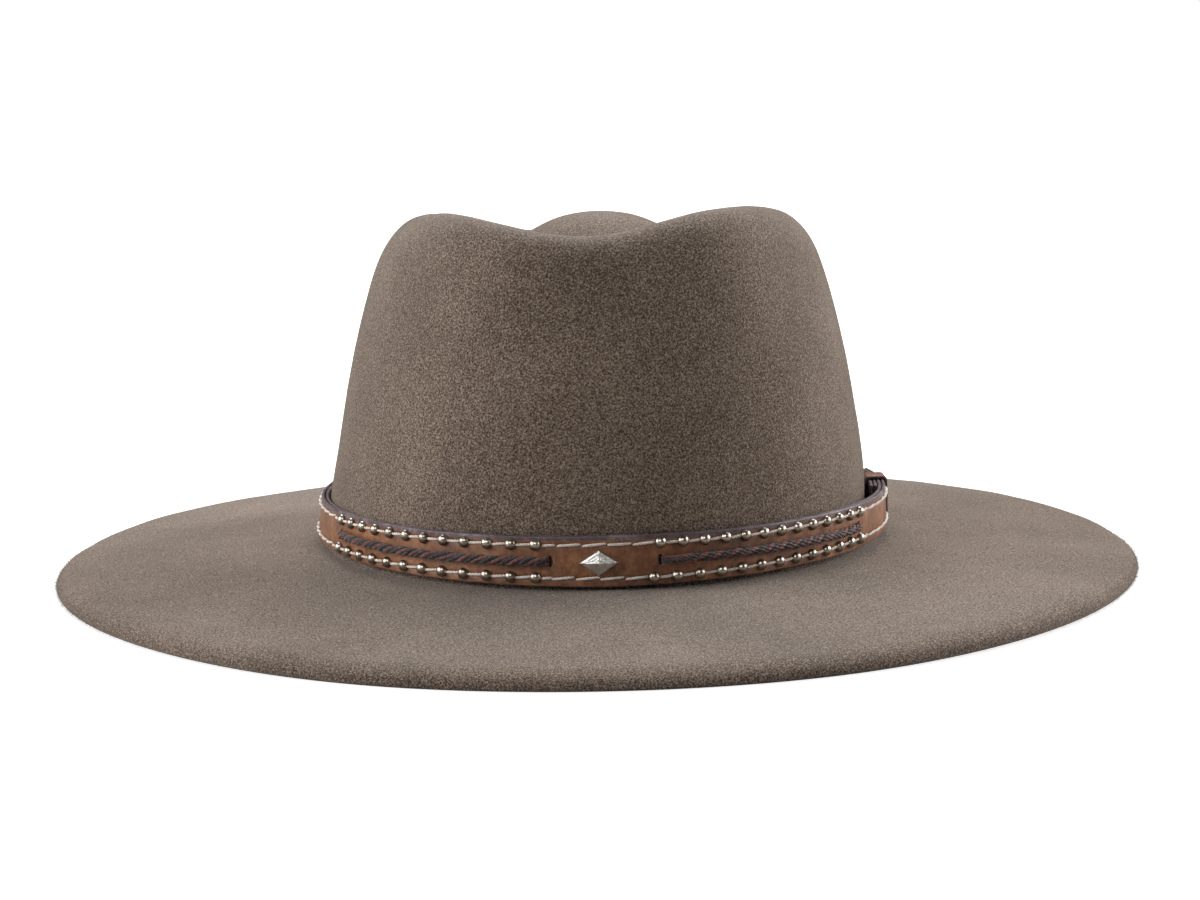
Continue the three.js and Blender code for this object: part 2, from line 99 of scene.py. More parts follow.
# %% Table and studio light
bpy.context.scene.view_settings.view_transform = "Standard"
TABLE_RADIUS, TABLE_SIDES = 6.0, 96
TABLE_GREY = 0.6
ROOM_LIGHT = 0.02
WHITE = (1, 1, 1, 1)
# The table's glow for the eye is weaker near the hat: painted shade round it.
GLOW_NEAR, GLOW_FAR = 0.84, 1.0
GLOW_FROM, GLOW_TO = 0.25, 0.9
LIGHTS = [
    {"name": "overhead", "round": 180, "above": 55, "away": 1.6, "size": (1.4, 1.1), "power": 22.5},
    {"name": "left_front", "round": -64, "above": 25, "away": 1.7, "size": (0.9, 0.9), "power": 12.0},
    {"name": "left", "round": -92, "above": 25, "away": 1.7, "size": (0.9, 0.9), "power": 10.5},
    {"name": "right_back", "round": 118, "above": 25, "away": 1.7, "size": (0.9, 0.9), "power": 17.0},
    {"name": "right", "round": 82, "above": 25, "away": 1.7, "size": (0.9, 0.9), "power": 8.5},
    {"name": "glints", "round": -14, "above": 37, "away": 1.6, "size": (0.9, 0.5), "power": 7.0},
]
LIGHT_AIM = Vector((0, 0, 0.06))


def add_node(tree, kind, place, **settings):
    node = tree.nodes.new(kind)
    node.location = place
    for name, value in settings.items():
        setattr(node, name, value)
    return node


def set_inputs(node, values):
    for socket, value in values.items():
        node.inputs[socket].default_value = value


def wire(tree, *links):
    """Joins nodes: each link gives a node and its output, then a node and its input."""
    for source, output, target, entry in links:
        tree.links.new(source.outputs[output], target.inputs[entry])


def glow_for_eye(tree, surface):
    """Lets the eye see the table as white as the paper behind a product, with only a faint shadow on it.
    Its glow is weaker near the hat, which paints shade round the hat on top of the real shadow.
    """
    place = add_node(tree, "ShaderNodeTexCoord", (-900, 300))
    distance = add_node(tree, "ShaderNodeVectorMath", (-700, 300), operation="LENGTH")
    # The glow fades toward the hat: painted shade round the hat, added to its real shadow.
    painted_shade_fade = add_node(tree, "ShaderNodeMapRange", (-500, 300), interpolation_type="SMOOTHSTEP")
    set_inputs(painted_shade_fade, {"From Min": GLOW_FROM, "From Max": GLOW_TO, "To Min": GLOW_NEAR, "To Max": GLOW_FAR})
    glow = add_node(tree, "ShaderNodeEmission", (-300, 300))
    both = add_node(tree, "ShaderNodeAddShader", (-100, 300))
    rays = add_node(tree, "ShaderNodeLightPath", (-100, 600))
    choice = add_node(tree, "ShaderNodeMixShader", (100, 300))
    out = tree.nodes["Material Output"]
    wire(tree, (place, "Object", distance, 0), (distance, "Value", painted_shade_fade, "Value"),
         (painted_shade_fade, "Result", glow, "Strength"), (surface, "BSDF", both, 0), (glow, "Emission", both, 1),
         (rays, "Is Camera Ray", choice, "Fac"), (surface, "BSDF", choice, 1), (both, "Shader", choice, 2),
         (choice, "Shader", out, "Surface"))


def make_table():
    table = bmesh.new()
    bmesh.ops.create_circle(table, cap_ends=True, segments=TABLE_SIDES, radius=TABLE_RADIUS)
    mesh = bpy.data.meshes.new("table")
    table.to_mesh(mesh)
    table.free()
    floor = bpy.data.objects.new("table", mesh)
    bpy.context.scene.collection.objects.link(floor)
    material = bpy.data.materials.new("white_table")
    material.use_nodes = True
    surface = material.node_tree.nodes["Principled BSDF"]
    grey = (TABLE_GREY, TABLE_GREY, TABLE_GREY, 1)
    set_inputs(surface, {"Base Color": grey, "Roughness": 0.85, "Specular IOR Level": 0.1})
    glow_for_eye(material.node_tree, surface)
    mesh.materials.append(material)


def make_lights():
    for row in LIGHTS:
        data = bpy.data.lights.new(row["name"], "AREA")
        data.shape = "RECTANGLE"
        data.size, data.size_y = row["size"]
        data.energy = row["power"]
        light = bpy.data.objects.new(row["name"], data)
        light.visible_diffuse = row["name"] != "glints"
        turn, rise = math.radians(row["round"]), math.radians(row["above"])
        level = math.cos(rise)
        direction = Vector((math.sin(turn) * level, -math.cos(turn) * level, math.sin(rise)))
        light.location = direction * row["away"]
        light.rotation_mode = "QUATERNION"
        light.rotation_quaternion = (LIGHT_AIM - light.location).to_track_quat("-Z", "Y")
        bpy.context.scene.collection.objects.link(light)
    print("lights:", len(LIGHTS))


def make_room():
    world = bpy.data.worlds.new("room")
    bpy.context.scene.world = world
    world.use_nodes = True
    tree = world.node_tree
    tree.nodes.clear()
    seen = add_node(tree, "ShaderNodeBackground", (-200, -100))
    lit = add_node(tree, "ShaderNodeBackground", (-200, 100))
    set_inputs(seen, {"Color": WHITE})
    set_inputs(lit, {"Color": WHITE, "Strength": ROOM_LIGHT})
    rays = add_node(tree, "ShaderNodeLightPath", (-200, 400))
    mix = add_node(tree, "ShaderNodeMixShader", (0, 0))
    out = add_node(tree, "ShaderNodeOutputWorld", (200, 0))
    wire(tree, (rays, "Is Camera Ray", mix, "Fac"), (lit, "Background", mix, 1),
         (seen, "Background", mix, 2), (mix, "Shader", out, "Surface"))


make_table()
make_lights()
make_room()

# %% [markdown]
# A few small tools come next. A surface here is a grid of points: rows run along the piece and columns run
# round it. One function turns such a grid into a mesh, with a UV map in metres, so a pattern can follow the
# piece. The points are given in millimetres and scaled on the way in, because Blender wants metres.

# %% Small tools


def smoothstep(value, low, high):
    share = np.clip((value - low) / (high - low), 0, 1)
    return share * share * (3 - 2 * share)


def bump(value):
    return np.cos(np.pi / 2 * np.clip(value, -1, 1)) ** 2


def turned(angle, centre):
    return np.arctan2(np.sin(angle - centre), np.cos(angle - centre))


def unit(vectors):
    return vectors / np.linalg.norm(vectors, axis=-1, keepdims=True)


def grid_faces(rows, columns, round_and_round=True, first=0):
    faces = []
    last = columns if round_and_round else columns - 1
    for row in range(rows - 1):
        for column in range(last):
            beside = (column + 1) % columns
            low, high = first + row * columns, first + (row + 1) * columns
            faces.append((low + column, low + beside, high + beside, high + column))
    return faces


def capped_faces(rows, sides):
    """The faces of a closed skin: rings of points, then one point at each end."""
    faces = grid_faces(rows, sides)
    tip = rows * sides
    for side in range(sides):
        beside = (side + 1) % sides
        faces.append((tip, beside, side))
        faces.append((tip + 1, tip - sides + side, tip - sides + beside))
    return faces


def make_piece(name, points, faces, uvs=None, smooth=True):
    mesh = bpy.data.meshes.new(name)
    mesh.from_pydata((np.asarray(points) * MM).tolist(), [], faces)
    mesh.update()
    if uvs is not None:
        layer = mesh.uv_layers.new(name="UVMap")
        corners = np.zeros(len(mesh.loops), np.int32)
        mesh.loops.foreach_get("vertex_index", corners)
        layer.data.foreach_set("uv", np.asarray(uvs, np.float32)[corners].ravel())
    if smooth:
        mesh.shade_smooth()
    else:
        mesh.shade_flat()
    piece = bpy.data.objects.new(name, mesh)
    bpy.context.scene.collection.objects.link(piece)
    return piece


def triangles(piece):
    piece.data.calc_loop_triangles()
    return len(piece.data.loop_triangles)


def show(piece, nodes=()):
    """Hides the CAD nodes the piece stands for, lets it ride on the part and prints its count of triangles.
    """
    if nodes:
        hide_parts(*nodes)
    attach(piece, "root")
    print(piece.name, triangles(piece), "triangles")


# %% [markdown]
# The crown of a hat is blocked: wet felt is pulled over a wooden form. Seen from above its walls are ovals,
# which get smaller and squarer toward the top. One table gives the oval at each height, so the whole crown
# follows from a few numbers. The dent in the top is a groove round a raised island, and the front lip dips
# between two soft peaks.

# %% Sizes of the crown
CROWN_SHIFT = 1.1
CROWN_LEAN = 1.4
BREAK_HEIGHT = 13.2
BREAK_RADIUS = 1.5
FOOT = BREAK_HEIGHT + BREAK_RADIUS
RISE, SIDE, FRONT, BACK, CENTRE, POWER = np.array([
    (0.000, 88.4, 104.4, 104.4, 0.0, 2.00),
    (0.070, 87.9, 104.1, 104.0, 0.4, 2.00),
    (0.168, 86.8, 103.4, 103.0, 1.0, 2.01),
    (0.283, 84.6, 102.2, 101.4, 1.8, 2.03),
    (0.394, 82.7, 100.8, 99.4, 2.8, 2.05),
    (0.524, 80.4, 99.0, 96.6, 4.0, 2.08),
    (0.649, 77.7, 96.8, 93.2, 5.4, 2.11),
    (0.736, 75.3, 94.9, 90.3, 6.4, 2.14),
    (0.832, 72.3, 92.4, 86.4, 7.6, 2.18),
    (0.909, 68.8, 89.6, 82.4, 8.6, 2.22),
    (0.958, 64.6, 86.6, 78.6, 9.3, 2.26),
    (0.988, 60.2, 82.6, 74.0, 9.8, 2.29),
    (1.000, 54.5, 77.4, 68.4, 10.0, 2.30),
]).T
RIDGE_HEIGHT, RIDGE_FALL, RIDGE_SINK = 118.5, 0.108, 0.00125
DENT_SIDE, DENT_FRONT, DENT_BACK, DENT_PLACE = 10.5, 15.0, 7.0, 1.45
LIP_DIP, LIP_PLACE, LIP_REACH, LIP_START = 9.0, -3.0, 54.0, 0.35
PINCH_DEPTH, PINCH_RISE, PINCH_REACH = 3.0, 0.74, 0.5
PINCH_ANGLE, PINCH_SPREAD = np.radians(42), np.radians(38)
KEEPER_ANGLE, KEEPER_SPREAD = np.radians(4.7), np.radians(50)
KEEPER_PRESS, KEEPER_PRESS_FULL, KEEPER_PRESS_RISE = 1.9, 0.35, 0.3
TOP_SHARES = [0.02, 0.13, 0.27, 0.41, 0.53, 0.63, 0.73, 0.82, 0.90, 0.96]


def gauge(angle, half_width, half_length, power):
    across = np.abs(np.cos(angle)) / half_width
    along = np.abs(np.sin(angle)) / half_length
    return (across ** power + along ** power) ** (-1 / power)


def pressed_in(angle, rise):
    from_front = np.abs(turned(angle, -np.pi / 2))
    pinch = bump((from_front - PINCH_ANGLE) / PINCH_SPREAD) * bump((rise - PINCH_RISE) / PINCH_REACH)
    from_keeper = np.abs(turned(angle, KEEPER_ANGLE)) / KEEPER_SPREAD
    keeper = (1 - smoothstep(from_keeper, KEEPER_PRESS_FULL, 1)) * bump(rise / KEEPER_PRESS_RISE)
    return PINCH_DEPTH * pinch + KEEPER_PRESS * keeper


def wall_point(angle, rise, height, outward=0.0):
    side, front, back = (np.interp(rise, RISE, row) for row in (SIDE, FRONT, BACK))
    centre, power = (np.interp(rise, RISE, row) for row in (CENTRE, POWER))
    half_length = np.where(np.sin(angle) < 0, front + centre, back - centre)
    radius = gauge(angle, side, half_length, power) - pressed_in(angle, rise) + outward
    x = CROWN_SHIFT + CROWN_LEAN * rise + radius * np.cos(angle)
    y = centre + radius * np.sin(angle)
    return np.stack([x, y, height + 0 * angle], -1)


def top_point(angle, share):
    middle = np.array([CROWN_SHIFT + CROWN_LEAN, CENTRE[-1], 0])
    point = middle + share * (wall_point(angle, 1.0, 0.0) - middle)
    ahead = np.maximum(0, -np.sin(angle)) ** 2
    behind = np.maximum(0, np.sin(angle)) ** 2
    depth = DENT_SIDE + (DENT_FRONT - DENT_SIDE) * ahead + (DENT_BACK - DENT_SIDE) * behind
    groove = np.sin(np.pi * share ** DENT_PLACE) ** 2
    lip = LIP_DIP * bump((point[..., 0] - LIP_PLACE) / LIP_REACH) * ahead * smoothstep(share, LIP_START, 1)
    ridge = RIDGE_HEIGHT - RIDGE_FALL * point[..., 1] - RIDGE_SINK * np.maximum(0, point[..., 1]) ** 2
    point[..., 2] = ridge - depth * groove - lip
    return point


def ridge_height(angle):
    return top_point(angle, 1.0)[..., 2]


def wall_at_rise(angle, rise):
    return wall_point(angle, rise, FOOT + rise * (ridge_height(angle) - FOOT))


def wall_at_height(angle, height):
    rise = np.maximum(0, (height - FOOT) / (ridge_height(angle) - FOOT))
    return wall_point(angle, rise, height + 0 * angle)


print("crown ridge from", round(float(ridge_height(np.array(np.pi / 2))), 1), "mm high at the back")

# %% [markdown]
# The brim runs from the break, where it leaves the crown, down and out to a rolled edge. The whole hat is one
# skin, so the body is one grid: rings from the middle of the crown over the ridge, down the wall, out over
# the brim, round the rim, and back inside at the felt's thickness. Subdivision Surface then rounds what the
# few rings only outline, as the steam does on the real block.

# %% Felt body
BRIM_WIDTH, BRIM_LENGTH, BRIM_POWER = 350.0, 389.0, 2.0
SIDE_RISE, SIDE_RISE_START = 1.6, 0.3
CROWN_FELT, BRIM_FELT = 2.5, 3.0
BRIM_ROWS = [(0.12, 12.6), (0.30, 11.5), (0.55, 9.7), (0.80, 7.7)]
RIM_ROWS = [(9.0, 6.3), (6.0, 5.7), (3.6, 4.9), (1.7, 3.9), (0.5, 2.9), (0.0, 1.9), (0.4, 0.8), (1.4, 0.0),
            (2.9, 0.0), (5.6, 1.6)]
COLUMNS = 72
FELT_LEVELS = 2
FELT_WAVE, FELT_WAVE_SIZE = 0.22, 24.0
RIPPLE_SHARE, RIPPLE_FINER = 0.5, 2.3
WAVE_FROM, WAVE_FULL = 2.0, 5.0


def break_point(angle, turn):
    point = wall_point(angle, 0.0, 0.0, BREAK_RADIUS * (1 - math.cos(turn)))
    point[..., 2] = BREAK_HEIGHT + BREAK_RADIUS * (1 - math.sin(turn))
    return point


def side_rise(angle):
    return SIDE_RISE * smoothstep(np.abs(np.cos(angle)), SIDE_RISE_START, 1)


def rim_point(angle, inset, height):
    radius = gauge(angle, BRIM_WIDTH / 2, BRIM_LENGTH / 2, BRIM_POWER)
    rim = np.stack([radius * np.cos(angle), radius * np.sin(angle), 0 * angle], -1)
    inner = break_point(angle, math.pi / 2) * np.array([1, 1, 0])
    point = rim + unit(inner - rim) * inset
    point[..., 2] = height + side_rise(angle)
    return point


def brim_point(angle, share, height):
    start = break_point(angle, math.pi / 2)
    point = start + share * (rim_point(angle, *RIM_ROWS[0]) - start)
    point[..., 2] = height + side_rise(angle) * share
    return point


def inside_ring(rings, index, felt):
    ring = rings[index]
    around = np.roll(ring, -1, 0) - np.roll(ring, 1, 0)
    down = rings[index + 1] - rings[max(0, index - 1)]
    return ring - felt * unit(np.cross(around, down))


def make_felt_body():
    angle = -np.arange(COLUMNS) / COLUMNS * 2 * np.pi
    rings = [top_point(angle, share) for share in TOP_SHARES]
    rings += [wall_at_rise(angle, rise) for rise in RISE[::-1]]
    rings += [break_point(angle, turn) for turn in (math.pi / 4, math.pi / 2)]
    crown_rings = len(rings)
    rings += [brim_point(angle, share, height) for share, height in BRIM_ROWS]
    rolled = len(rings)
    rings += [rim_point(angle, inset, height) for inset, height in RIM_ROWS]
    inside = []
    for index in range(rolled, 0, -1):
        inside.append(inside_ring(rings, index, CROWN_FELT if index < crown_rings else BRIM_FELT))
    inside.append(rings[0] - [0, 0, CROWN_FELT])
    points = np.concatenate([*rings, *inside])
    body = make_piece("hat_felt", points, grid_faces(len(rings) + len(inside), COLUMNS))
    rounding = body.modifiers.new("rounding", "SUBSURF")
    rounding.levels = rounding.render_levels = FELT_LEVELS
    return body


def applied(piece):
    """The piece's mesh with its modifiers worked in."""
    bpy.context.view_layer.update()
    graph = bpy.context.evaluated_depsgraph_get()
    mesh = bpy.data.meshes.new_from_object(piece.evaluated_get(graph))
    piece.modifiers.clear()
    old = piece.data
    piece.data = mesh
    bpy.data.meshes.remove(old)
    mesh.name = piece.name
    return piece


def close_holes(piece):
    work = bmesh.new()
    work.from_mesh(piece.data)
    bmesh.ops.holes_fill(work, edges=[edge for edge in work.edges if edge.is_boundary], sides=0)
    work.to_mesh(piece.data)
    work.free()


def vertex_values(piece, name):
    values = np.zeros(len(piece.data.vertices) * 3, np.float32)
    piece.data.vertices.foreach_get(name, values)
    return values.reshape(-1, 3)


def handle_felt(body):
    """Soft unevenness, as left by hands and steam, on all of the felt above the edge it rests on."""
    place, normal = vertex_values(body, "co"), vertex_values(body, "normal")
    waves = place / (FELT_WAVE_SIZE * MM)
    lift = np.array([noise.noise(point) + RIPPLE_SHARE * noise.noise(point * RIPPLE_FINER)
                     for point in map(Vector, waves)])
    lift *= smoothstep(place[:, 2] / MM, WAVE_FROM, WAVE_FULL) * FELT_WAVE * MM
    body.data.vertices.foreach_set("co", (place + normal * lift[:, None]).astype(np.float32).ravel())
    body.data.update()


hat_felt = applied(make_felt_body())
close_holes(hat_felt)
handle_felt(hat_felt)

# %% [markdown]
# Every finish that has small dents and patches of colour uses the same effect, so it is one node group. It
# mixes three noises of the piece's own coordinates: broad patches, a fine mottle and the smallest grain. It
# puts out a mask for colour and a normal for the surface. Each material then gives its own sizes.

# %% Node group for mottled, grained surfaces
NOISES = [("Patch", 3.0), ("Mottle", 4.0), ("Grain", 2.0)]
NOISE_ROUGHNESS, GRAIN_HEIGHT = 0.6, 0.6
GRAIN_DEFAULTS = {"Patch Scale": 30.0, "Mottle Scale": 500.0, "Grain Scale": 1500.0, "Patch Share": 0.3,
                  "Bump Strength": 0.3, "Bump Distance": 0.0005}


def grain_group():
    group = bpy.data.node_groups.new("mottle_and_grain", "ShaderNodeTree")
    face = group.interface
    face.new_socket("Vector", in_out="INPUT", socket_type="NodeSocketVector")
    for name, value in GRAIN_DEFAULTS.items():
        socket = face.new_socket(name, in_out="INPUT", socket_type="NodeSocketFloat")
        socket.default_value = value
    for name, kind in (("Mask", "Float"), ("Grain", "Float"), ("Normal", "Vector")):
        face.new_socket(name, in_out="OUTPUT", socket_type=f"NodeSocket{kind}")
    come = add_node(group, "NodeGroupInput", (-900, 0))
    leave = add_node(group, "NodeGroupOutput", (600, 0))
    fields = {}
    for row, (name, detail) in enumerate(NOISES):
        fields[name] = add_node(group, "ShaderNodeTexNoise", (-600, 300 - 300 * row))
        set_inputs(fields[name], {"Detail": detail, "Roughness": NOISE_ROUGHNESS})
        wire(group, (come, "Vector", fields[name], "Vector"), (come, f"{name} Scale", fields[name], "Scale"))
    mask = add_node(group, "ShaderNodeMix", (-200, 200))
    height = add_node(group, "ShaderNodeMath", (-200, -150), operation="MULTIPLY_ADD")
    height.inputs[1].default_value = GRAIN_HEIGHT
    dents = add_node(group, "ShaderNodeBump", (200, -150))
    wire(group, (come, "Patch Share", mask, "Factor"), (fields["Mottle"], "Fac", mask, "A"),
         (fields["Patch"], "Fac", mask, "B"), (fields["Grain"], "Fac", height, 0),
         (fields["Mottle"], "Fac", height, 2), (come, "Bump Strength", dents, "Strength"),
         (come, "Bump Distance", dents, "Distance"), (height, "Value", dents, "Height"),
         (mask, "Result", leave, "Mask"), (fields["Grain"], "Fac", leave, "Grain"),
         (dents, "Normal", leave, "Normal"))
    return group


GRAIN_GROUP = grain_group()


def make_finish(name, colours, grain, surface):
    """A material whose colour runs through the given colours by the group's mask."""
    material = bpy.data.materials.new(name)
    material.use_nodes = True
    tree = material.node_tree
    principled = tree.nodes["Principled BSDF"]
    coordinates = add_node(tree, "ShaderNodeTexCoord", (-1000, 0), name="coordinates")
    effect = add_node(tree, "ShaderNodeGroup", (-700, 0), node_tree=GRAIN_GROUP, name="effect")
    ramp = add_node(tree, "ShaderNodeValToRGB", (-400, 150))
    stops = ramp.color_ramp.elements
    while len(stops) < len(colours):
        stops.new(0.5)
    for stop, (place, colour) in zip(stops, colours):
        stop.position = place
        stop.color = (*colour, 1)
    set_inputs(effect, grain)
    set_inputs(principled, surface)
    wire(tree, (coordinates, "Object", effect, "Vector"), (effect, "Mask", ramp, "Fac"),
         (ramp, "Color", principled, "Base Color"), (effect, "Normal", principled, "Normal"))
    return material


# %% [markdown]
# Wool felt has no shine. Its fibres scatter light, so it looks a little brighter where it turns away from
# the eye, which is what Sheen is for. Its colour is a grey brown with darker and lighter flecks about half a
# millimetre across.

# %% Felt finish
FELT = make_finish(
    "taupe_felt",
    [(0.36, (0.034, 0.024, 0.017)), (0.50, (0.168, 0.124, 0.093)), (0.64, (0.450, 0.350, 0.278))],
    {"Patch Scale": 22.0, "Mottle Scale": 1900.0, "Grain Scale": 4200.0, "Patch Share": 0.12,
     "Bump Strength": 0.6, "Bump Distance": 0.0003},
    {"Roughness": 1.0, "Specular IOR Level": 0.1, "Sheen Weight": 0.24, "Sheen Roughness": 0.5,
     "Sheen Tint": (1.0, 0.96, 0.92, 1.0)},
)
hat_felt.data.materials.append(FELT)
show(hat_felt, ["felt_body"])

# %% [markdown]
# The band is a strap of two leathers sewn together. It lies against the crown, starts under the keeper on
# the wearer's left, goes once round the hat and laps over its own start. The track below walks along the
# strap and keeps, for each step, the place of its middle and the directions along it, up it and out of it.
# Everything on the band, such as studs, stitches and lacings, is then placed by its distance along the track.

# %% Track of the band
STRAP_MIDDLE, STRAP_HEIGHT_FRONT, STRAP_HEIGHT_END = 22.1, 15.6, 12.2
STRAP_TAPER = np.radians(97)
FIT_GAP, WALL_GAP = 0.3, 0.5
LINING_THICK, FACE_THICK = 1.1, 1.0
STRAP_THICK = LINING_THICK + FIT_GAP + FACE_THICK
TAIL_START, LAP_END = np.radians(-6.5), np.radians(379)
LAP_RAMP, LAP_FULL = np.radians(50), np.radians(350)
KEEPER_WIDTH, KEEPER_WALL = 9.0, 0.9
TAIL_OFFSET = FIT_GAP + KEEPER_WALL + FIT_GAP
LAP_OFFSET = TAIL_OFFSET + STRAP_THICK + FIT_GAP
TRACK_STEPS = 1200
ANGLE_STEP = 0.01


def strap_offset(angle):
    tail = 1 - smoothstep(angle, KEEPER_SPREAD * KEEPER_PRESS_FULL, KEEPER_SPREAD)
    lap = smoothstep(angle, LAP_FULL - LAP_RAMP, LAP_FULL)
    return WALL_GAP + (TAIL_OFFSET - WALL_GAP) * tail + (LAP_OFFSET - WALL_GAP) * lap


def strap_half_height(angle):
    share = np.minimum(1, np.abs(turned(angle, -np.pi / 2)) / STRAP_TAPER)
    return (STRAP_HEIGHT_FRONT + (STRAP_HEIGHT_END - STRAP_HEIGHT_FRONT) * share) / 2


def wall_frame(angle):
    low = wall_at_height(angle, STRAP_MIDDLE - STRAP_HEIGHT_END / 2)
    high = wall_at_height(angle, STRAP_MIDDLE + STRAP_HEIGHT_END / 2)
    ahead = wall_at_height(angle + ANGLE_STEP, low[..., 2])
    along = unit(ahead - wall_at_height(angle - ANGLE_STEP, low[..., 2]))
    up = unit(high - low)
    return (low + high) / 2, along, up, unit(np.cross(along, up))


def make_track():
    angle = np.linspace(TAIL_START, LAP_END, TRACK_STEPS)
    origin, _, up, out = wall_frame(angle)
    inner = origin + out * strap_offset(angle)[:, None]
    face = inner + out * STRAP_THICK
    along = unit(np.gradient(face, axis=0))
    up = unit(up - along * np.sum(up * along, -1, keepdims=True))
    out = unit(np.cross(along, up))
    length = np.concatenate([[0], np.cumsum(np.linalg.norm(np.diff(face, axis=0), axis=-1))])
    length -= np.interp(1.5 * np.pi, angle, length)
    return {"length": length, "angle": angle, "face": face, "along": along, "up": up, "out": out,
            "half": strap_half_height(angle)}


TRACK = make_track()
BAND_START, BAND_END = TRACK["length"][0], TRACK["length"][-1]
print("band from", round(BAND_START), "to", round(BAND_END), "mm along its track")


def on_track(name, distance):
    values = TRACK[name]
    if values.ndim == 1:
        return np.interp(distance, TRACK["length"], values)
    columns = [np.interp(distance, TRACK["length"], values[:, k]) for k in range(3)]
    return np.stack(columns, -1)


def band_point(distance, height, off=0.0):
    """Point on the band's face: height is above its middle, off is how far it stands out of the leather."""
    up, out = on_track("up", distance), on_track("out", distance)
    return on_track("face", distance) + up * np.expand_dims(height, -1) + out * np.expand_dims(off, -1)


# %% [markdown]
# The face leather is tan, rubbed lighter in places, with fine pores. Its cut edges and the lining are dyed a
# dark greyish purple and burnished, so they shine a little. Both finishes use the group from above, and only
# the numbers differ.

# %% Leather finishes
FACE_LEATHER = make_finish(
    "tan_leather",
    [(0.34, (0.100, 0.031, 0.007)), (0.50, (0.238, 0.082, 0.022)), (0.66, (0.430, 0.180, 0.065))],
    {"Patch Scale": 70.0, "Mottle Scale": 520.0, "Grain Scale": 2300.0, "Patch Share": 0.5,
     "Bump Strength": 0.45, "Bump Distance": 0.0003},
    {"Roughness": 0.44, "Specular IOR Level": 0.6, "Coat Weight": 0.15, "Coat Roughness": 0.35},
)
EDGE_LEATHER = make_finish(
    "dyed_leather_edge",
    [(0.30, (0.045, 0.028, 0.032)), (0.50, (0.135, 0.092, 0.103)), (0.70, (0.340, 0.270, 0.290))],
    {"Patch Scale": 90.0, "Mottle Scale": 500.0, "Grain Scale": 2000.0, "Patch Share": 0.5,
     "Bump Strength": 0.25, "Bump Distance": 0.0003},
    {"Roughness": 0.45, "Specular IOR Level": 0.5},
)

# %% [markdown]
# Each leather is a strip with a rounded, dyed edge. Its section, in thickness and height, is drawn for every
# step along the track. The face leather is pressed in a little where the two rows of stitches pull it down,
# and it stands proud between them.

# %% Rows of stitches and the two leathers
TOP_ROW = ([-400, -107, -20, 18, 104, 150], [4.2, 4.4, 5.0, 5.2, 4.4, 4.2])
BOTTOM_ROW = ([-400, -107, -20, 16, 103, 150], [-4.3, -4.5, -4.9, -5.3, -3.9, -4.0])
GROOVE_DEPTH, GROOVE_WIDTH = 0.26, 0.85
EDGE_RADIUS, BACK_CUT = 0.45, 0.25
STRIP_STEP = 1.0
EDGE_SHARES = (0.0, 0.3, 0.6, 0.85, 1.0)
FACE_HEIGHTS = np.linspace(-1, 1, 31)
DYED_ROWS = 3


def row_height(distance, row):
    return np.interp(distance, *row)


def strip_section(distance, inner, outer, grooved):
    """Points round the strip at one distance, as (off the face, height)."""
    half = float(on_track("half", distance))
    rim = []
    for share in EDGE_SHARES:
        turn = share * math.pi / 2
        off = outer - EDGE_RADIUS + EDGE_RADIUS * math.sin(turn)
        rim.append((off, half - EDGE_RADIUS + EDGE_RADIUS * math.cos(turn)))
    section = [(inner, BACK_CUT - half), (inner, half - BACK_CUT), (inner + BACK_CUT, half), *rim]
    middle = half - EDGE_RADIUS
    for height in FACE_HEIGHTS[::-1][1:-1] * middle:
        off = outer
        if grooved:
            for row in (TOP_ROW, BOTTOM_ROW):
                off -= GROOVE_DEPTH * float(bump((height - row_height(distance, row)) / GROOVE_WIDTH))
        section.append((off, height))
    section += [(off, -height) for off, height in reversed(rim)]
    section.append((inner + BACK_CUT, -half))
    return section


def make_strip(name, inner, outer, grooved):
    steps = int(round((BAND_END - BAND_START) / STRIP_STEP))
    distances = np.linspace(BAND_START, BAND_END, steps)
    points, uvs = [], []
    for distance in distances:
        section = np.array(strip_section(distance, inner, outer, grooved))
        points.append(band_point(np.full(len(section), distance), section[:, 1], section[:, 0]))
        uvs.append(np.stack([np.full(len(section), distance), section[:, 1] + section[:, 0]], -1))
    sides = len(points[0])
    ends = np.array([points[0].mean(0), points[-1].mean(0)])
    uv = np.concatenate([*uvs, [[BAND_START, 0], [BAND_END, 0]]]) * MM
    strip = make_piece(name, np.concatenate([*points, ends]), capped_faces(steps, sides), uv)
    strip.data.materials.append(FACE_LEATHER if grooved else EDGE_LEATHER)
    strip.data.materials.append(EDGE_LEATHER)
    first_side = len(EDGE_SHARES) + 1 + DYED_ROWS
    face_sides = range(first_side, first_side + len(FACE_HEIGHTS) - DYED_ROWS + 1)
    for polygon in strip.data.polygons:
        on_face = polygon.index < (steps - 1) * sides and polygon.index % sides in face_sides
        polygon.material_index = 0 if on_face else 1
    return strip


band_face = make_strip("band_face_leather", -FACE_THICK, 0.0, True)
band_lining = make_strip("band_lining_leather", -STRAP_THICK, -STRAP_THICK + LINING_THICK, False)

# %% [markdown]
# The lacings disappear into short slits. A slit is a hole cut by a Boolean modifier with a thin oval bar, so
# the leather has a real thickness at its rim.

# %% Slits in the face leather
LACINGS = [
    {"side": "left", "from": -106.8, "to": -15.4, "straight": 0.0},
    {"side": "right", "from": 18.2, "to": 103.4, "straight": 7.0},
]
SLIT_WIDTH, SLIT_HEIGHT, SLIT_SIDES = 1.5, 3.4, 20


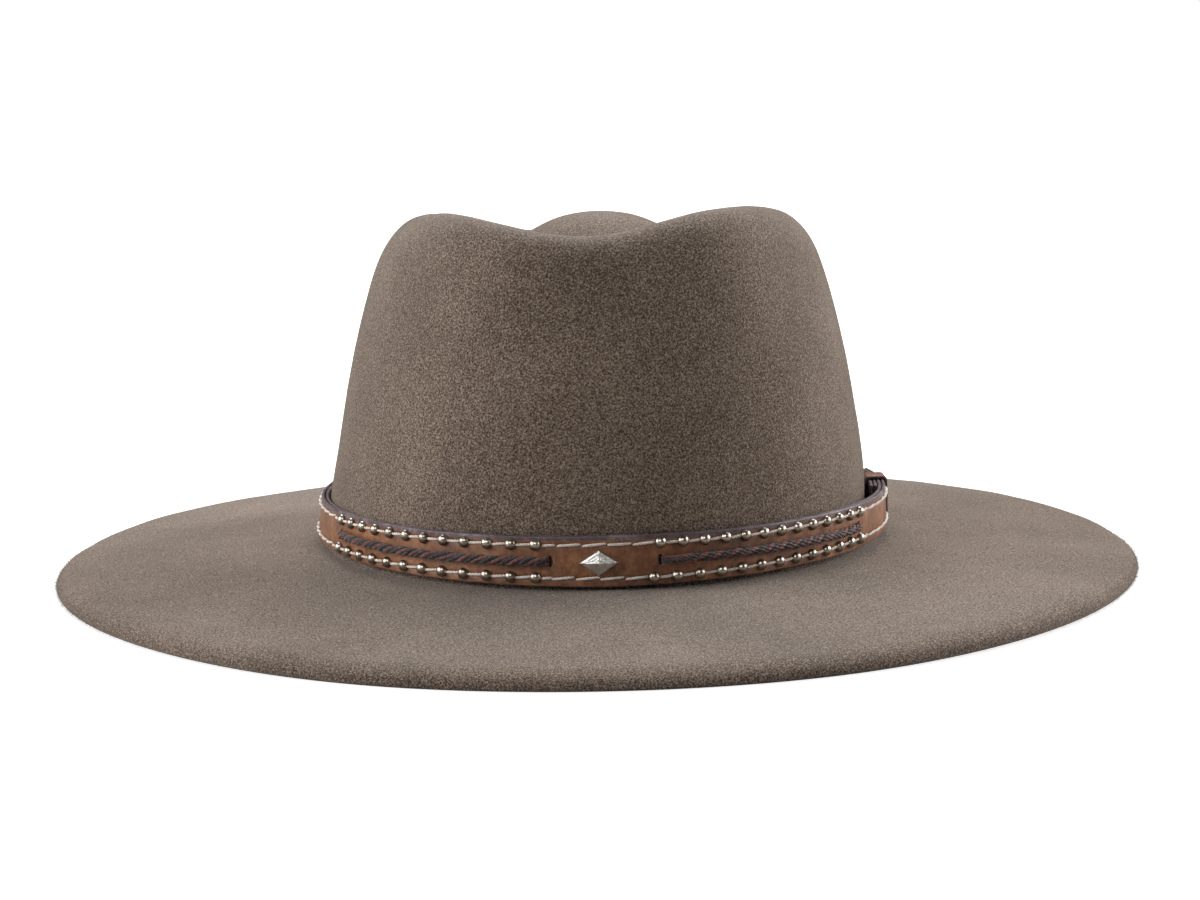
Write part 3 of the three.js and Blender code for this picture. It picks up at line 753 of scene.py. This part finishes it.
def make_slit_bars():
    points, faces = [], []
    for distance in [lacing[end] for lacing in LACINGS for end in ("from", "to")]:
        first = len(points)
        along, up, out = (on_track(name, distance) for name in ("along", "up", "out"))
        middle = on_track("face", distance)
        for off in (-3 * FACE_THICK, FACE_THICK):
            for k in range(SLIT_SIDES):
                turn = 2 * math.pi * k / SLIT_SIDES
                aside = SLIT_WIDTH / 2 * math.cos(turn)
                above = SLIT_HEIGHT / 2 * math.sin(turn)
                points.append(middle + along * aside + up * above + out * off)
        faces += grid_faces(2, SLIT_SIDES, first=first)
        faces.append(tuple(first + k for k in reversed(range(SLIT_SIDES))))
        faces.append(tuple(first + SLIT_SIDES + k for k in range(SLIT_SIDES)))
    return make_piece("slit_bars", points, faces, smooth=False)


def cut_slits(strip):
    bars = make_slit_bars()
    cut = strip.modifiers.new("slits", "BOOLEAN")
    cut.operation = "DIFFERENCE"
    cut.solver = "EXACT"
    cut.object = bars
    applied(strip)
    bpy.data.objects.remove(bars)


cut_slits(band_face)

show(band_face, ["band_face"])
show(band_lining, ["band_lining"])

# %% [markdown]
# Studs, stitches and needle holes are many copies of one small shape. Geometry Nodes set them: a cloud of
# points carries, for each copy, the direction out of the leather and the direction along the band, and the
# tree turns one shape to fit at every point. A little random turn, with a fixed seed, keeps the copies from
# looking machine made. The tree ends in real meshes with a material, and the result is kept as a plain mesh.

# %% Geometry Nodes that set copies along the band
SETTING_INPUTS = [("Geometry", "Geometry", None), ("Shape", "Object", None), ("Size", "Float", 1.0),
                  ("Sway", "Float", 0.0), ("Seed", "Int", 1), ("Material", "Material", None)]


def start_tree(name, inputs):
    """A Geometry Nodes tree with named inputs: returns the tree and its two ends."""
    tree = bpy.data.node_groups.new(name, "GeometryNodeTree")
    for title, kind, value in inputs:
        socket = tree.interface.new_socket(title, in_out="INPUT", socket_type=f"NodeSocket{kind}")
        if value is not None:
            socket.default_value = value
    tree.interface.new_socket("Geometry", in_out="OUTPUT", socket_type="NodeSocketGeometry")
    return tree, add_node(tree, "NodeGroupInput", (-900, 0)), add_node(tree, "NodeGroupOutput", (900, 0))


def random_turn(tree, come):
    """A random rotation whose size is the tree's Sway input."""
    chance = add_node(tree, "FunctionNodeRandomValue", (-300, 500), data_type="FLOAT_VECTOR")
    for row, (limit, entry) in enumerate((((-1, -1, -1), "Min"), ((1, 1, 1), "Max"))):
        scaled = add_node(tree, "ShaderNodeVectorMath", (-500, 500 - 150 * row), operation="SCALE")
        scaled.inputs[0].default_value = limit
        wire(tree, (come, "Sway", scaled, "Scale"), (scaled, "Vector", chance, entry))
    turn = add_node(tree, "FunctionNodeEulerToRotation", (-100, 500))
    wire(tree, (come, "Seed", chance, "Seed"), (chance, "Value", turn, "Euler"))
    return turn


def plant_copies(tree, come, leave, points, facing, size):
    """Sets the Shape at each point as real mesh. Points, facing and size are (node, output) pairs."""
    shape = add_node(tree, "GeometryNodeObjectInfo", (-500, -200))
    turn = add_node(tree, "FunctionNodeRotateRotation", (0, 200), rotation_space="LOCAL")
    planted = add_node(tree, "GeometryNodeInstanceOnPoints", (250, 0))
    real = add_node(tree, "GeometryNodeRealizeInstances", (450, 0))
    dressed = add_node(tree, "GeometryNodeSetMaterial", (650, 0))
    wire(tree, (come, "Shape", shape, "Object"), (*facing, turn, "Rotation"),
         (random_turn(tree, come), "Rotation", turn, "Rotate By"), (*points, planted, "Points"),
         (shape, "Geometry", planted, "Instance"), (turn, "Rotation", planted, "Rotation"),
         (*size, planted, "Scale"), (planted, "Instances", real, "Geometry"),
         (real, "Geometry", dressed, "Geometry"), (come, "Material", dressed, "Material"),
         (dressed, "Geometry", leave, "Geometry"))


def setting_tree():
    tree, come, leave = start_tree("set_along_band", SETTING_INPUTS)
    axes = add_node(tree, "FunctionNodeAxesToRotation", (-300, 200), primary_axis="Z", secondary_axis="X")
    for name, socket in (("facing", "Primary Axis"), ("heading", "Secondary Axis")):
        field = add_node(tree, "GeometryNodeInputNamedAttribute", (-500, 300), data_type="FLOAT_VECTOR")
        set_inputs(field, {"Name": name})
        wire(tree, (field, "Attribute", axes, socket))
    plant_copies(tree, come, leave, (come, "Geometry"), (axes, "Rotation"), (come, "Size"))
    return tree


def run_tree(piece, tree, **values):
    """Runs a tree on the piece with the named inputs, and keeps the result as its plain mesh."""
    step = piece.modifiers.new(tree.name, "NODES")
    step.node_group = tree
    sockets = {s.name: s.identifier for s in tree.interface.items_tree if s.in_out == "INPUT"}
    for name, value in values.items():
        step[sockets[name]] = value
    applied(piece)
    piece.data.shade_smooth()


SETTING_TREE = setting_tree()


def set_copies(name, shape, distances, heights, off, material, sway=0.0, seed=1, slant=0.0):
    distances, heights = np.asarray(distances, float), np.asarray(heights, float)
    points = band_point(distances, heights, np.full(len(distances), off))
    cloud = make_piece(name, points, [])
    heading = unit(on_track("along", distances) + slant * on_track("up", distances))
    for field, values in (("facing", on_track("out", distances)), ("heading", heading)):
        store = cloud.data.attributes.new(field, "FLOAT_VECTOR", "POINT")
        store.data.foreach_set("vector", values.astype(np.float32).ravel())
    run_tree(cloud, SETTING_TREE, Shape=shape, Sway=sway, Seed=seed, Material=material)
    bpy.data.objects.remove(shape)
    return cloud


# %% [markdown]
# A stud is a small dome of nickel that has gone warm and dark where nobody rubs it. The dome is a lathed
# outline. Two groups of studs run along both rows, twelve pairs on one side and thirteen on the other.

# %% Studs
STUD_RADIUS, STUD_DOME, STUD_STEPS, STUD_SIDES = 1.8, 1.6, 7, 22
STUD_FOOT, STUD_BOTTOM, STUD_SKIRT, TIP_RISE = 0.9, 0.05, 0.2, 0.02
STUD_ROWS = [
    ("left_top", 12, -20.0, -7.87, 5.0, 4.4),
    ("left_bottom", 12, -19.9, -7.97, -4.9, -4.5),
    ("right_top", 13, 18.3, 7.13, 5.2, 4.4),
    ("right_bottom", 13, 16.0, 7.26, -5.3, -3.9),
]
METAL = make_finish(
    "antique_nickel",
    [(0.30, (0.25, 0.20, 0.155)), (0.50, (0.47, 0.405, 0.335)), (0.70, (0.68, 0.62, 0.54))],
    {"Patch Scale": 260.0, "Mottle Scale": 1200.0, "Grain Scale": 3000.0, "Patch Share": 0.6,
     "Bump Strength": 0.12, "Bump Distance": 0.0002},
    {"Roughness": 0.3, "Metallic": 1.0},
)


def lathed(name, outline, sides):
    """A turned shape from an outline of (radius, height), closed below and with a slightly raised tip."""
    turn = np.arange(sides) / sides * 2 * np.pi
    rings = [np.stack([radius * np.cos(turn), radius * np.sin(turn), height + 0 * turn], -1)
             for radius, height in outline]
    tips = np.array([[0, 0, outline[0][1]], [0, 0, outline[-1][1] + TIP_RISE]])
    return make_piece(name, np.concatenate([*rings, tips]), capped_faces(len(outline), sides))


def stud_shape():
    outline = [(STUD_RADIUS * STUD_FOOT, STUD_BOTTOM), (STUD_RADIUS, STUD_SKIRT)]
    for turn in np.arange(1, STUD_STEPS) * math.pi / 2 / STUD_STEPS:
        height = STUD_SKIRT + STUD_DOME * math.sin(turn)
        outline.append((STUD_RADIUS * math.cos(turn), height))
    return lathed("stud_dome", outline, STUD_SIDES)


stud_places = []
stud_nodes = []
for row_name, count, first, pitch, first_height, last_height in STUD_ROWS:
    for k in range(count):
        height = first_height + k / (count - 1) * (last_height - first_height)
        stud_places.append((first + k * pitch, height))
        stud_nodes.append(f"stud_{row_name}_{k + 1:02d}")
studs = set_copies("studs", stud_shape(), *zip(*stud_places), off=0.0, material=METAL, sway=0.07, seed=4)
show(studs, stud_nodes)

# %% [markdown]
# The band is sewn with thick white thread. One stitch is three strands twisted together, thinner at both
# ends, where it dives into its needle holes. Between studs a stitch spans from one stud to the next. At the
# front, and beyond the studs, the stitches follow each other with a small gap.

# %% Stitches
THREAD_RADIUS, STRANDS, STRAND_SIDES, STITCH_STEPS = 0.48, 3, 6, 18
STITCH_LENGTH, STITCH_TURNS = 7.2, 2.2
STITCH_LIFT, STITCH_DIVE, STITCH_END = 0.36, 0.45, 0.55
LIFT_ARCH, DIVE_ARCH, SLIM_ARCH = 0.35, 0.5, 0.4
SHORT_STITCH = 4.0
THREAD = make_finish(
    "white_thread",
    [(0.28, (0.56, 0.49, 0.42)), (0.50, (0.88, 0.82, 0.75)), (0.70, (0.97, 0.95, 0.92))],
    {"Patch Scale": 120.0, "Mottle Scale": 900.0, "Grain Scale": 3500.0, "Patch Share": 0.4,
     "Bump Strength": 0.3, "Bump Distance": 0.0002},
    {"Roughness": 0.8, "Sheen Weight": 0.2},
)


def tube(path, radii, sides, reference):
    """Rings round a path of points, with ends drawn to a point: returns points and faces."""
    path = np.asarray(path, float)
    ahead = unit(np.gradient(path, axis=0))
    aside = unit(np.cross(ahead, reference))
    above = np.cross(aside, ahead)
    turn = np.arange(sides) / sides * 2 * np.pi
    rings = (path[:, None] + aside[:, None] * (radii[:, None] * np.cos(turn))[..., None]
             + above[:, None] * (radii[:, None] * np.sin(turn))[..., None])
    points = np.concatenate([rings.reshape(-1, 3), path[:1], path[-1:]])
    return points, [tuple(reversed(face)) for face in capped_faces(len(path), sides)]


def join_tubes(name, tubes, uvs=None):
    points, faces, first = [], [], 0
    for tube_points, tube_faces in tubes:
        faces += [tuple(first + k for k in face) for face in tube_faces]
        points.append(tube_points)
        first += len(tube_points)
    return make_piece(name, np.concatenate(points), faces, uvs)


def stitch_shape(length):
    share = np.linspace(0, 1, STITCH_STEPS)
    arch = np.sin(np.pi * share)
    lift = STITCH_LIFT * arch ** LIFT_ARCH - STITCH_DIVE * (1 - arch ** DIVE_ARCH)
    radius = THREAD_RADIUS / 2 * (STITCH_END + (1 - STITCH_END) * arch ** SLIM_ARCH)
    tubes = []
    for strand in range(STRANDS):
        turn = 2 * np.pi * (STITCH_TURNS * share * length / STITCH_LENGTH + strand / STRANDS)
        path = np.stack([(share - 0.5) * length, radius * np.cos(turn), lift + radius * np.sin(turn)], -1)
        tubes.append(tube(path, radius, STRAND_SIDES, np.array([0, 0, 1.0])))
    return join_tubes("stitch", tubes)


STITCH_PITCH, STITCH_SLANT, STITCH_OFF = 7.6, 0.06, 0.02
KEEPER_CLEAR = 0.3
HIDDEN_UP_TO = np.radians(22)
KEEPER_AT = float(np.interp(KEEPER_ANGLE + 2 * np.pi, TRACK["angle"], TRACK["length"]))
HIDDEN_TAIL = float(np.interp(HIDDEN_UP_TO, TRACK["angle"], TRACK["length"]))


def stud_row(name):
    for row_name, count, first, pitch, _, _ in STUD_ROWS:
        if row_name == name:
            return count, first, pitch


def stitch_places(row, side, front):
    """Where the stitches of a row are: between the studs, at the front, and out to both ends."""
    left_count, left_first, left_pitch = stud_row(f"left_{side}")
    right_count, right_first, right_pitch = stud_row(f"right_{side}")
    places = [left_first + (k + 0.5) * left_pitch for k in range(left_count - 1)]
    places += [right_first + (k + 0.5) * right_pitch for k in range(right_count - 1)]
    places += front
    place = left_first + (left_count - 0.5) * left_pitch
    while place > HIDDEN_TAIL + STITCH_PITCH:
        places.append(place)
        place -= STITCH_PITCH
    place = right_first + (right_count - 0.5) * right_pitch
    while place < BAND_END - STITCH_PITCH / 2:
        if abs(place - KEEPER_AT) > (KEEPER_WIDTH + STITCH_LENGTH) / 2 + KEEPER_CLEAR:
            places.append(place)
        place += STITCH_PITCH
    return [(place, float(row_height(place, row))) for place in places]

places = stitch_places(TOP_ROW, "top", [-9.6, -2.0, 5.7, 13.2])
places += stitch_places(BOTTOM_ROW, "bottom", [-11.5, -4.1, 3.3, 10.8])
stitches = set_copies("stitches", stitch_shape(STITCH_LENGTH), *zip(*places), off=STITCH_OFF,
                      material=THREAD, sway=0.03, seed=9, slant=STITCH_SLANT)
short_places = [(-15.8, 4.95), (-16.6, -5.0)]
short_stitches = set_copies("short_stitches", stitch_shape(SHORT_STITCH), *zip(*short_places),
                            off=STITCH_OFF, material=THREAD, seed=5, slant=STITCH_SLANT)
for sewing in (stitches, short_stitches):
    show(sewing)

# %% [markdown]
# Where the thread dives in, the leather shows a small needle hole, dark with the shade inside it. A flat
# round bead, nearly black and sunk almost level with the face, paints that shade as a dot.

# %% Needle holes
# Nearly black colour: painted shade inside each needle hole.
HOLE_SHADE_FINISH = make_finish(
    "needle_hole",
    [(0.3, (0.010, 0.007, 0.005)), (0.7, (0.030, 0.020, 0.015))],
    {"Bump Strength": 0.1},
    {"Roughness": 0.9, "Specular IOR Level": 0.1},
)
HOLE_RADIUS, HOLE_SIDES = 0.42, 10
HOLE_OUTLINE = [(1.0, -0.2), (1.0, -0.02), (0.75, 0.035), (0.3, 0.05)]
HOLE_AT = STITCH_LENGTH / 2 + 0.1

hole_shape = lathed("hole", [(HOLE_RADIUS * share, height) for share, height in HOLE_OUTLINE], HOLE_SIDES)
hole_places = [(place + end * HOLE_AT, height) for place, height in places for end in (-1, 1)]
# Dots of painted shade at both ends of every stitch.
hole_shade_dots = set_copies("needle_holes", hole_shape, *zip(*hole_places), off=-GROOVE_DEPTH, material=HOLE_SHADE_FINISH)
show(hole_shade_dots)

# %% [markdown]
# Each lacing is four strands, red and black in turn, twisted into one cord. A strand is a tube whose path
# winds round the lacing's own path. Near both ends the path dives into its slit, and the right lacing starts
# with its strands lying almost straight, red above black. The strands are themselves spun from two finer
# threads: a slanted stripe in the strand's UV map shows that.

# %% Lacings
LACING_PITCH, LACING_STRANDS = 11.8, 4
STRAND_RADIUS, STRAND_AWAY, LACING_SIDES, LACING_STEP = 0.66, 0.72, 10, 0.45
TWIST_SWAY, STRAND_SWAY = 0.3, 0.14
TWIST_WAVES, AWAY_WAVE, RADIUS_WAVE = (5.3, 3.1), 2.3, 1.7
STRAIGHT_TWIST = 0.12
LACING_INSET, LACING_DIVE = SLIT_WIDTH * 0.3, 1.0
DIVE_FROM, DIVE_TO, DIVE_CURVE = -1.2, 3.4, 0.8
END_SQUEEZE, SQUEEZE_REACH, SQUEEZED_RADIUS = 0.6, 4, 0.75


def strand_finish(name, colours):
    material = make_finish(
        name, colours,
        {"Patch Scale": 150.0, "Mottle Scale": 900.0, "Grain Scale": 3000.0, "Patch Share": 0.35},
        {"Roughness": 0.62, "Sheen Weight": 0.25, "Specular IOR Level": 0.4},
    )
    tree = material.node_tree
    stripes = add_node(tree, "ShaderNodeTexWave", (-700, -400), bands_direction="DIAGONAL")
    set_inputs(stripes, {"Scale": 0.42, "Distortion": 0.8, "Detail": 1.5})
    ridges = add_node(tree, "ShaderNodeBump", (-300, -400))
    set_inputs(ridges, {"Strength": 0.9, "Distance": 0.00025})
    wire(tree, (tree.nodes["coordinates"], "UV", stripes, "Vector"), (stripes, "Fac", ridges, "Height"),
         (tree.nodes["effect"], "Normal", ridges, "Normal"),
         (ridges, "Normal", tree.nodes["Principled BSDF"], "Normal"))
    return material


RED_STRAND = strand_finish(
    "red_strand",
    [(0.3, (0.060, 0.015, 0.013)), (0.5, (0.165, 0.048, 0.040)), (0.72, (0.340, 0.130, 0.110))],
)
BLACK_STRAND = strand_finish(
    "black_strand",
    [(0.3, (0.006, 0.006, 0.007)), (0.5, (0.018, 0.018, 0.021)), (0.72, (0.075, 0.078, 0.085))],
)


def lacing_path(lacing):
    count = int((lacing["to"] - lacing["from"]) / LACING_STEP)
    distance = np.linspace(lacing["from"] + LACING_INSET, lacing["to"] - LACING_INSET, count)
    from_end = np.minimum(distance - distance[0], distance[-1] - distance)
    risen = smoothstep(from_end, DIVE_FROM, DIVE_TO) ** DIVE_CURVE
    off = (STRAND_AWAY + STRAND_RADIUS + LACING_DIVE) * risen - LACING_DIVE
    squeeze = END_SQUEEZE + (1 - END_SQUEEZE) * smoothstep(from_end, 0, SQUEEZE_REACH)
    rate = np.ones(count)
    if lacing["straight"]:
        past_straight = distance - lacing["from"] - lacing["straight"]
        rate -= (1 - STRAIGHT_TWIST) * (1 - smoothstep(past_straight, -1, 2))
    twist = np.cumsum(rate * np.gradient(distance)) * 2 * np.pi / LACING_PITCH + np.pi / 4
    long_wave, short_wave = TWIST_WAVES
    twist += TWIST_SWAY * (np.sin(distance / long_wave) + np.sin(distance / short_wave + 1))
    return distance, off, squeeze, twist


def strand_tube(distance, off, squeeze, turn):
    middle = band_point(distance, np.zeros(len(distance)), off)
    up, out = on_track("up", distance), on_track("out", distance)
    away = STRAND_AWAY * (1 + STRAND_SWAY * np.sin(distance / AWAY_WAVE + 2 * turn[0]))
    path = middle + up * (away * np.sin(turn))[:, None]
    path += out * (away * squeeze * np.cos(turn))[:, None]
    radius = STRAND_RADIUS * (SQUEEZED_RADIUS + (1 - SQUEEZED_RADIUS) * squeeze)
    radius = radius * (1 + STRAND_SWAY * np.sin(distance / RADIUS_WAVE + 5 * turn[0]))
    return tube(path, radius, LACING_SIDES, out)


def make_lacing(lacing):
    distance, off, squeeze, twist = lacing_path(lacing)
    tubes, uvs = [], []
    around = np.arange(LACING_SIDES) / LACING_SIDES * 2 * np.pi * STRAND_RADIUS
    for strand in range(LACING_STRANDS):
        turn = twist - strand * 2 * np.pi / LACING_STRANDS
        tubes.append(strand_tube(distance, off, squeeze, turn))
        uv = np.stack(np.meshgrid(distance, around, indexing="ij"), -1).reshape(-1, 2)
        uvs.append(np.concatenate([uv, uv[:1], uv[-1:]]))
    piece = join_tubes(f"lacing_{lacing['side']}_cord", tubes, np.concatenate(uvs))
    piece.data.materials.append(RED_STRAND)
    piece.data.materials.append(BLACK_STRAND)
    each = len(piece.data.polygons) // LACING_STRANDS
    for polygon in piece.data.polygons:
        polygon.material_index = (polygon.index // each) % 2
    show(piece, [f"lacing_{lacing['side']}"])


for lacing in LACINGS:
    make_lacing(lacing)

# %% [markdown]
# The concho is a cast lozenge. A ridge runs from its left tip to its right tip, so the upper half faces the
# light and the lower half stays dull. The upper half has a raised border along its two edges and short cut
# strokes between them. It is small enough to be drawn face by face.

# %% Concho
CONCHO_PLACE, CONCHO_DROP = -0.6, -0.4
CONCHO_WIDE, CONCHO_TALL = 6.2, 3.9
CONCHO_BASE, CONCHO_EDGE, CONCHO_RIDGE = 0.1, 0.75, 1.75
STROKES = [(-3.5, 0.25, 1.6, 1.3), (-2.3, 0.45, 2.2, 0.95), (-1.0, 0.35, 2.0, 0.7), (0.2, 0.5, 2.1, 0.35),
           (1.3, 0.35, 1.6, 0.15), (2.5, 0.3, 1.3, -0.3), (-0.3, 1.9, 1.3, 0.25)]
STROKE_HALF_WIDTH, STROKE_HEIGHT, BORDER_HEIGHT = 0.26, 0.36, 0.42
STROKE_RISE, STROKE_TIP = 0.62, 0.6
STROKE_SHRINK, BORDER_SHRINK = 0.6, 0.93
BORDER_OUT, BORDER_IN_TALL, BORDER_IN_WIDE, BORDER_END = 0.95, 0.76, 0.72, 0.05
RIM_SHARE, ROOF_SHARE, RIDGE_END_FALL = 0.97, 0.86, 0.35
RELIEF_FOOT, CONCHO_SOFTNESS = 0.4, 0.07
SILVER = make_finish(
    "cast_silver",
    [(0.28, (0.30, 0.28, 0.25)), (0.50, (0.66, 0.64, 0.60)), (0.72, (0.88, 0.87, 0.84))],
    {"Patch Scale": 260.0, "Mottle Scale": 900.0, "Grain Scale": 2500.0, "Patch Share": 0.5,
     "Bump Strength": 0.15, "Bump Distance": 0.0003},
    {"Roughness": 0.3, "Metallic": 1.0},
)


def concho_point(x, y, z):
    return band_point(CONCHO_PLACE + x, CONCHO_DROP + y, z)


def slope(x, y):
    """Height of the lozenge's roof: highest on the line between the two tips."""
    fall = abs(y) / CONCHO_TALL + RIDGE_END_FALL * abs(x) / CONCHO_WIDE
    return CONCHO_EDGE + (CONCHO_RIDGE - CONCHO_EDGE) * (1 - fall)


def prism(corners, height, shrink):
    """A raised island: a ring of corners at its foot and the same ring, drawn in, above the roof."""
    corners = np.array(corners, float)
    middle = corners.mean(0)
    upper = middle + (corners - middle) * shrink
    points = [concho_point(x, y, RELIEF_FOOT) for x, y in corners]
    points += [concho_point(x, y, slope(x, y) + height) for x, y in upper]
    count = len(corners)
    faces = grid_faces(2, count)
    faces.append(tuple(reversed(range(count))))
    faces.append(tuple(range(count, 2 * count)))
    return np.array(points), faces


def make_concho():
    tips = [(CONCHO_WIDE, 0), (0, CONCHO_TALL), (-CONCHO_WIDE, 0), (0, -CONCHO_TALL)]
    roof = [(x * ROOF_SHARE, y * ROOF_SHARE) for x, y in tips]
    points = [concho_point(x, y, CONCHO_BASE) for x, y in tips]
    points += [concho_point(x * RIM_SHARE, y * RIM_SHARE, CONCHO_EDGE) for x, y in tips]
    points += [concho_point(x, y, slope(x, y)) for x, y in roof]
    points += [concho_point(0, 0, CONCHO_RIDGE), concho_point(0, 0, CONCHO_BASE)]
    faces = grid_faces(3, 4)
    faces += [(8, 9, 12), (9, 10, 12), (10, 11, 12), (11, 8, 12)]
    faces += [(1, 0, 13), (2, 1, 13), (3, 2, 13), (0, 3, 13)]
    parts = [(np.array(points), faces)]
    for sign in (-1, 1):
        border = [(sign * CONCHO_WIDE * BORDER_OUT, BORDER_END), (0, CONCHO_TALL * BORDER_OUT),
                  (0, CONCHO_TALL * BORDER_IN_TALL), (sign * CONCHO_WIDE * BORDER_IN_WIDE, BORDER_END)]
        parts.append(prism(border[::sign], BORDER_HEIGHT, BORDER_SHRINK))
    foot, tip = STROKE_HALF_WIDTH, STROKE_HALF_WIDTH * STROKE_TIP
    for x, y, length, lean in STROKES:
        end_x, end_y = x + length * lean, y + length * STROKE_RISE
        stroke = [(x + foot, y), (end_x + tip, end_y), (end_x - tip, end_y), (x - foot, y)]
        parts.append(prism(stroke, STROKE_HEIGHT, STROKE_SHRINK))
    piece = join_tubes("concho_lozenge", parts)
    piece.data.shade_flat()
    piece.data.materials.append(SILVER)
    soften = piece.modifiers.new("soften", "BEVEL")
    soften.width = CONCHO_SOFTNESS * MM
    soften.segments = 2
    applied(piece)
    show(piece, ["concho"])


make_concho()

# %% [markdown]
# The keeper is a loop of the same leather that goes round both ends of the strap. It is a rounded bar section
# swept round a rounded rectangle, which stands across the band on the wearer's left.

# %% Keeper
KEEPER_CORNER, KEEPER_ROUND = 1.1, 0.32
KEEPER_PATH_STEPS = 7
KEEPER_CUT = 0.5


def keeper_loop():
    """Middle line of the loop as (out, up, normal) points, round its four corners."""
    inner = TAIL_OFFSET - FIT_GAP - KEEPER_WALL / 2
    outer = LAP_OFFSET + STRAP_THICK + FIT_GAP + KEEPER_WALL / 2
    high = float(strap_half_height(KEEPER_ANGLE)) + FIT_GAP + KEEPER_WALL / 2
    corners = [(outer, high, 0), (inner, high, 1), (inner, -high, 2), (outer, -high, 3)]
    line = []
    for corner_out, corner_up, quarter in corners:
        start = quarter * math.pi / 2
        centre_out = corner_out - math.copysign(KEEPER_CORNER, corner_out - (inner + outer) / 2)
        centre_up = corner_up - math.copysign(KEEPER_CORNER, corner_up)
        for k in range(KEEPER_PATH_STEPS):
            turn = start + k / (KEEPER_PATH_STEPS - 1) * math.pi / 2
            along_out, along_up = math.cos(turn), math.sin(turn)
            place = (centre_out + KEEPER_CORNER * along_out, centre_up + KEEPER_CORNER * along_up)
            line.append((*place, (along_out, along_up)))
    return line


def keeper_section():
    """Points round the leather's section as (along, off the middle line)."""
    wide, thick = KEEPER_WIDTH / 2, KEEPER_WALL / 2
    section = []
    for x, y, start in ((1, 1, 0), (-1, 1, 1), (-1, -1, 2), (1, -1, 3)):
        for k in range(4):
            turn = (start + k / 3) * math.pi / 2
            section.append((x * (wide - KEEPER_ROUND) + KEEPER_ROUND * math.cos(turn),
                            y * (thick - KEEPER_ROUND) + KEEPER_ROUND * math.sin(turn)))
    return section


def make_keeper():
    origin, along, up, out = (part[0] for part in wall_frame(np.array([KEEPER_ANGLE])))
    section = keeper_section()
    points = []
    for line_out, line_up, direction in keeper_loop():
        for aside, off in section:
            points.append(origin + along * aside + out * (line_out + off * direction[0])
                          + up * (line_up + off * direction[1]))
    rows = len(points) // len(section)
    faces = grid_faces(rows, len(section))
    last = (rows - 1) * len(section)
    for side in range(len(section)):
        beside = (side + 1) % len(section)
        faces.append((last + side, last + beside, beside, side))
    piece = make_piece("keeper_loop", points, faces)
    bm = bmesh.new()
    bm.from_mesh(piece.data)
    bmesh.ops.recalc_face_normals(bm, faces=bm.faces)
    bm.to_mesh(piece.data)
    bm.free()
    piece.data.materials.append(FACE_LEATHER)
    piece.data.materials.append(EDGE_LEATHER)
    for polygon in piece.data.polygons:
        polygon.material_index = 1 if abs(polygon.normal.dot(Vector(along))) > KEEPER_CUT else 0
    show(piece, ["keeper"])


make_keeper()

# %% [markdown]
# Felt is a mat of loose hairs, and along the raw rim many of them stand out. Geometry Nodes scatter short
# bent hairs over the body. A value stored on the mesh says how hairy each place is: thick along the rim,
# thin everywhere else.

# %% Loose hairs of the felt
RIM_HAIRS, BODY_HAIRS = 2.0e6, 0.03e6
HAIR_LENGTH, HAIR_RADIUS, HAIR_SIDES = 1.5, 0.035, 3
HAIR_RINGS = [(0.0, 0.0, 1.0), (0.65, 0.18, 0.7)]
HAIR_TIP_LEAN = 0.6
RIM_FULL, RIM_NONE = 0.8, 3.0
UNDERSIDE_NONE, UNDERSIDE_FULL, BODY_FROM = 1.2, 2.2, 3.0
HAIR_SEED = 3
HAIR_INPUTS = [("Geometry", "Geometry", None), ("Shape", "Object", None), ("Shortest", "Float", 0.35),
               ("Longest", "Float", 1.0), ("Sway", "Float", 0.9), ("Seed", "Int", HAIR_SEED),
               ("Material", "Material", None)]


def hair_shape():
    rings = []
    turn = np.arange(HAIR_SIDES) / HAIR_SIDES * 2 * np.pi
    for height, lean, share in HAIR_RINGS:
        radius = share * HAIR_RADIUS
        x = lean * HAIR_LENGTH + radius * np.cos(turn)
        rings.append(np.stack([x, radius * np.sin(turn), height * HAIR_LENGTH + 0 * turn], -1))
    points = np.concatenate([*rings, [[HAIR_TIP_LEAN * HAIR_LENGTH, 0, HAIR_LENGTH]]])
    faces = grid_faces(2, HAIR_SIDES)
    faces += [(2, 1, 0), (3, 4, 6), (4, 5, 6), (5, 3, 6)]
    return make_piece("hair", points, faces)


def hair_tree():
    tree, come, leave = start_tree("loose_hairs", HAIR_INPUTS)
    thickness = add_node(tree, "GeometryNodeInputNamedAttribute", (-700, -200), data_type="FLOAT")
    set_inputs(thickness, {"Name": "hairs"})
    scatter = add_node(tree, "GeometryNodeDistributePointsOnFaces", (-400, 0))
    size = add_node(tree, "FunctionNodeRandomValue", (0, -200), data_type="FLOAT")
    wire(tree, (come, "Geometry", scatter, "Mesh"), (thickness, "Attribute", scatter, "Density"),
         (come, "Seed", scatter, "Seed"), (come, "Shortest", size, 2), (come, "Longest", size, 3),
         (come, "Seed", size, "Seed"))
    plant_copies(tree, come, leave, (scatter, "Points"), (scatter, "Rotation"), (size, 1))
    return tree


def make_hairs():
    shape = hair_shape()
    bed = bpy.data.objects.new("felt_hairs", hat_felt.data.copy())
    bpy.context.scene.collection.objects.link(bed)
    x, y, z = vertex_values(bed, "co").astype(float).T / MM
    angle = np.arctan2(y, x)
    to_rim = gauge(angle, BRIM_WIDTH / 2, BRIM_LENGTH / 2, BRIM_POWER) - np.hypot(x, y)
    rim = (1 - smoothstep(to_rim, RIM_FULL, RIM_NONE)) * smoothstep(z, UNDERSIDE_NONE, UNDERSIDE_FULL)
    body = np.where(z > BODY_FROM, 1.0, 0.0)
    values = BODY_HAIRS * body + (RIM_HAIRS - BODY_HAIRS) * rim
    store = bed.data.attributes.new("hairs", "FLOAT", "POINT")
    store.data.foreach_set("value", values.astype(np.float32))
    run_tree(bed, hair_tree(), Shape=shape, Material=FELT, Seed=HAIR_SEED)
    bpy.data.objects.remove(shape)
    show(bed)


make_hairs()
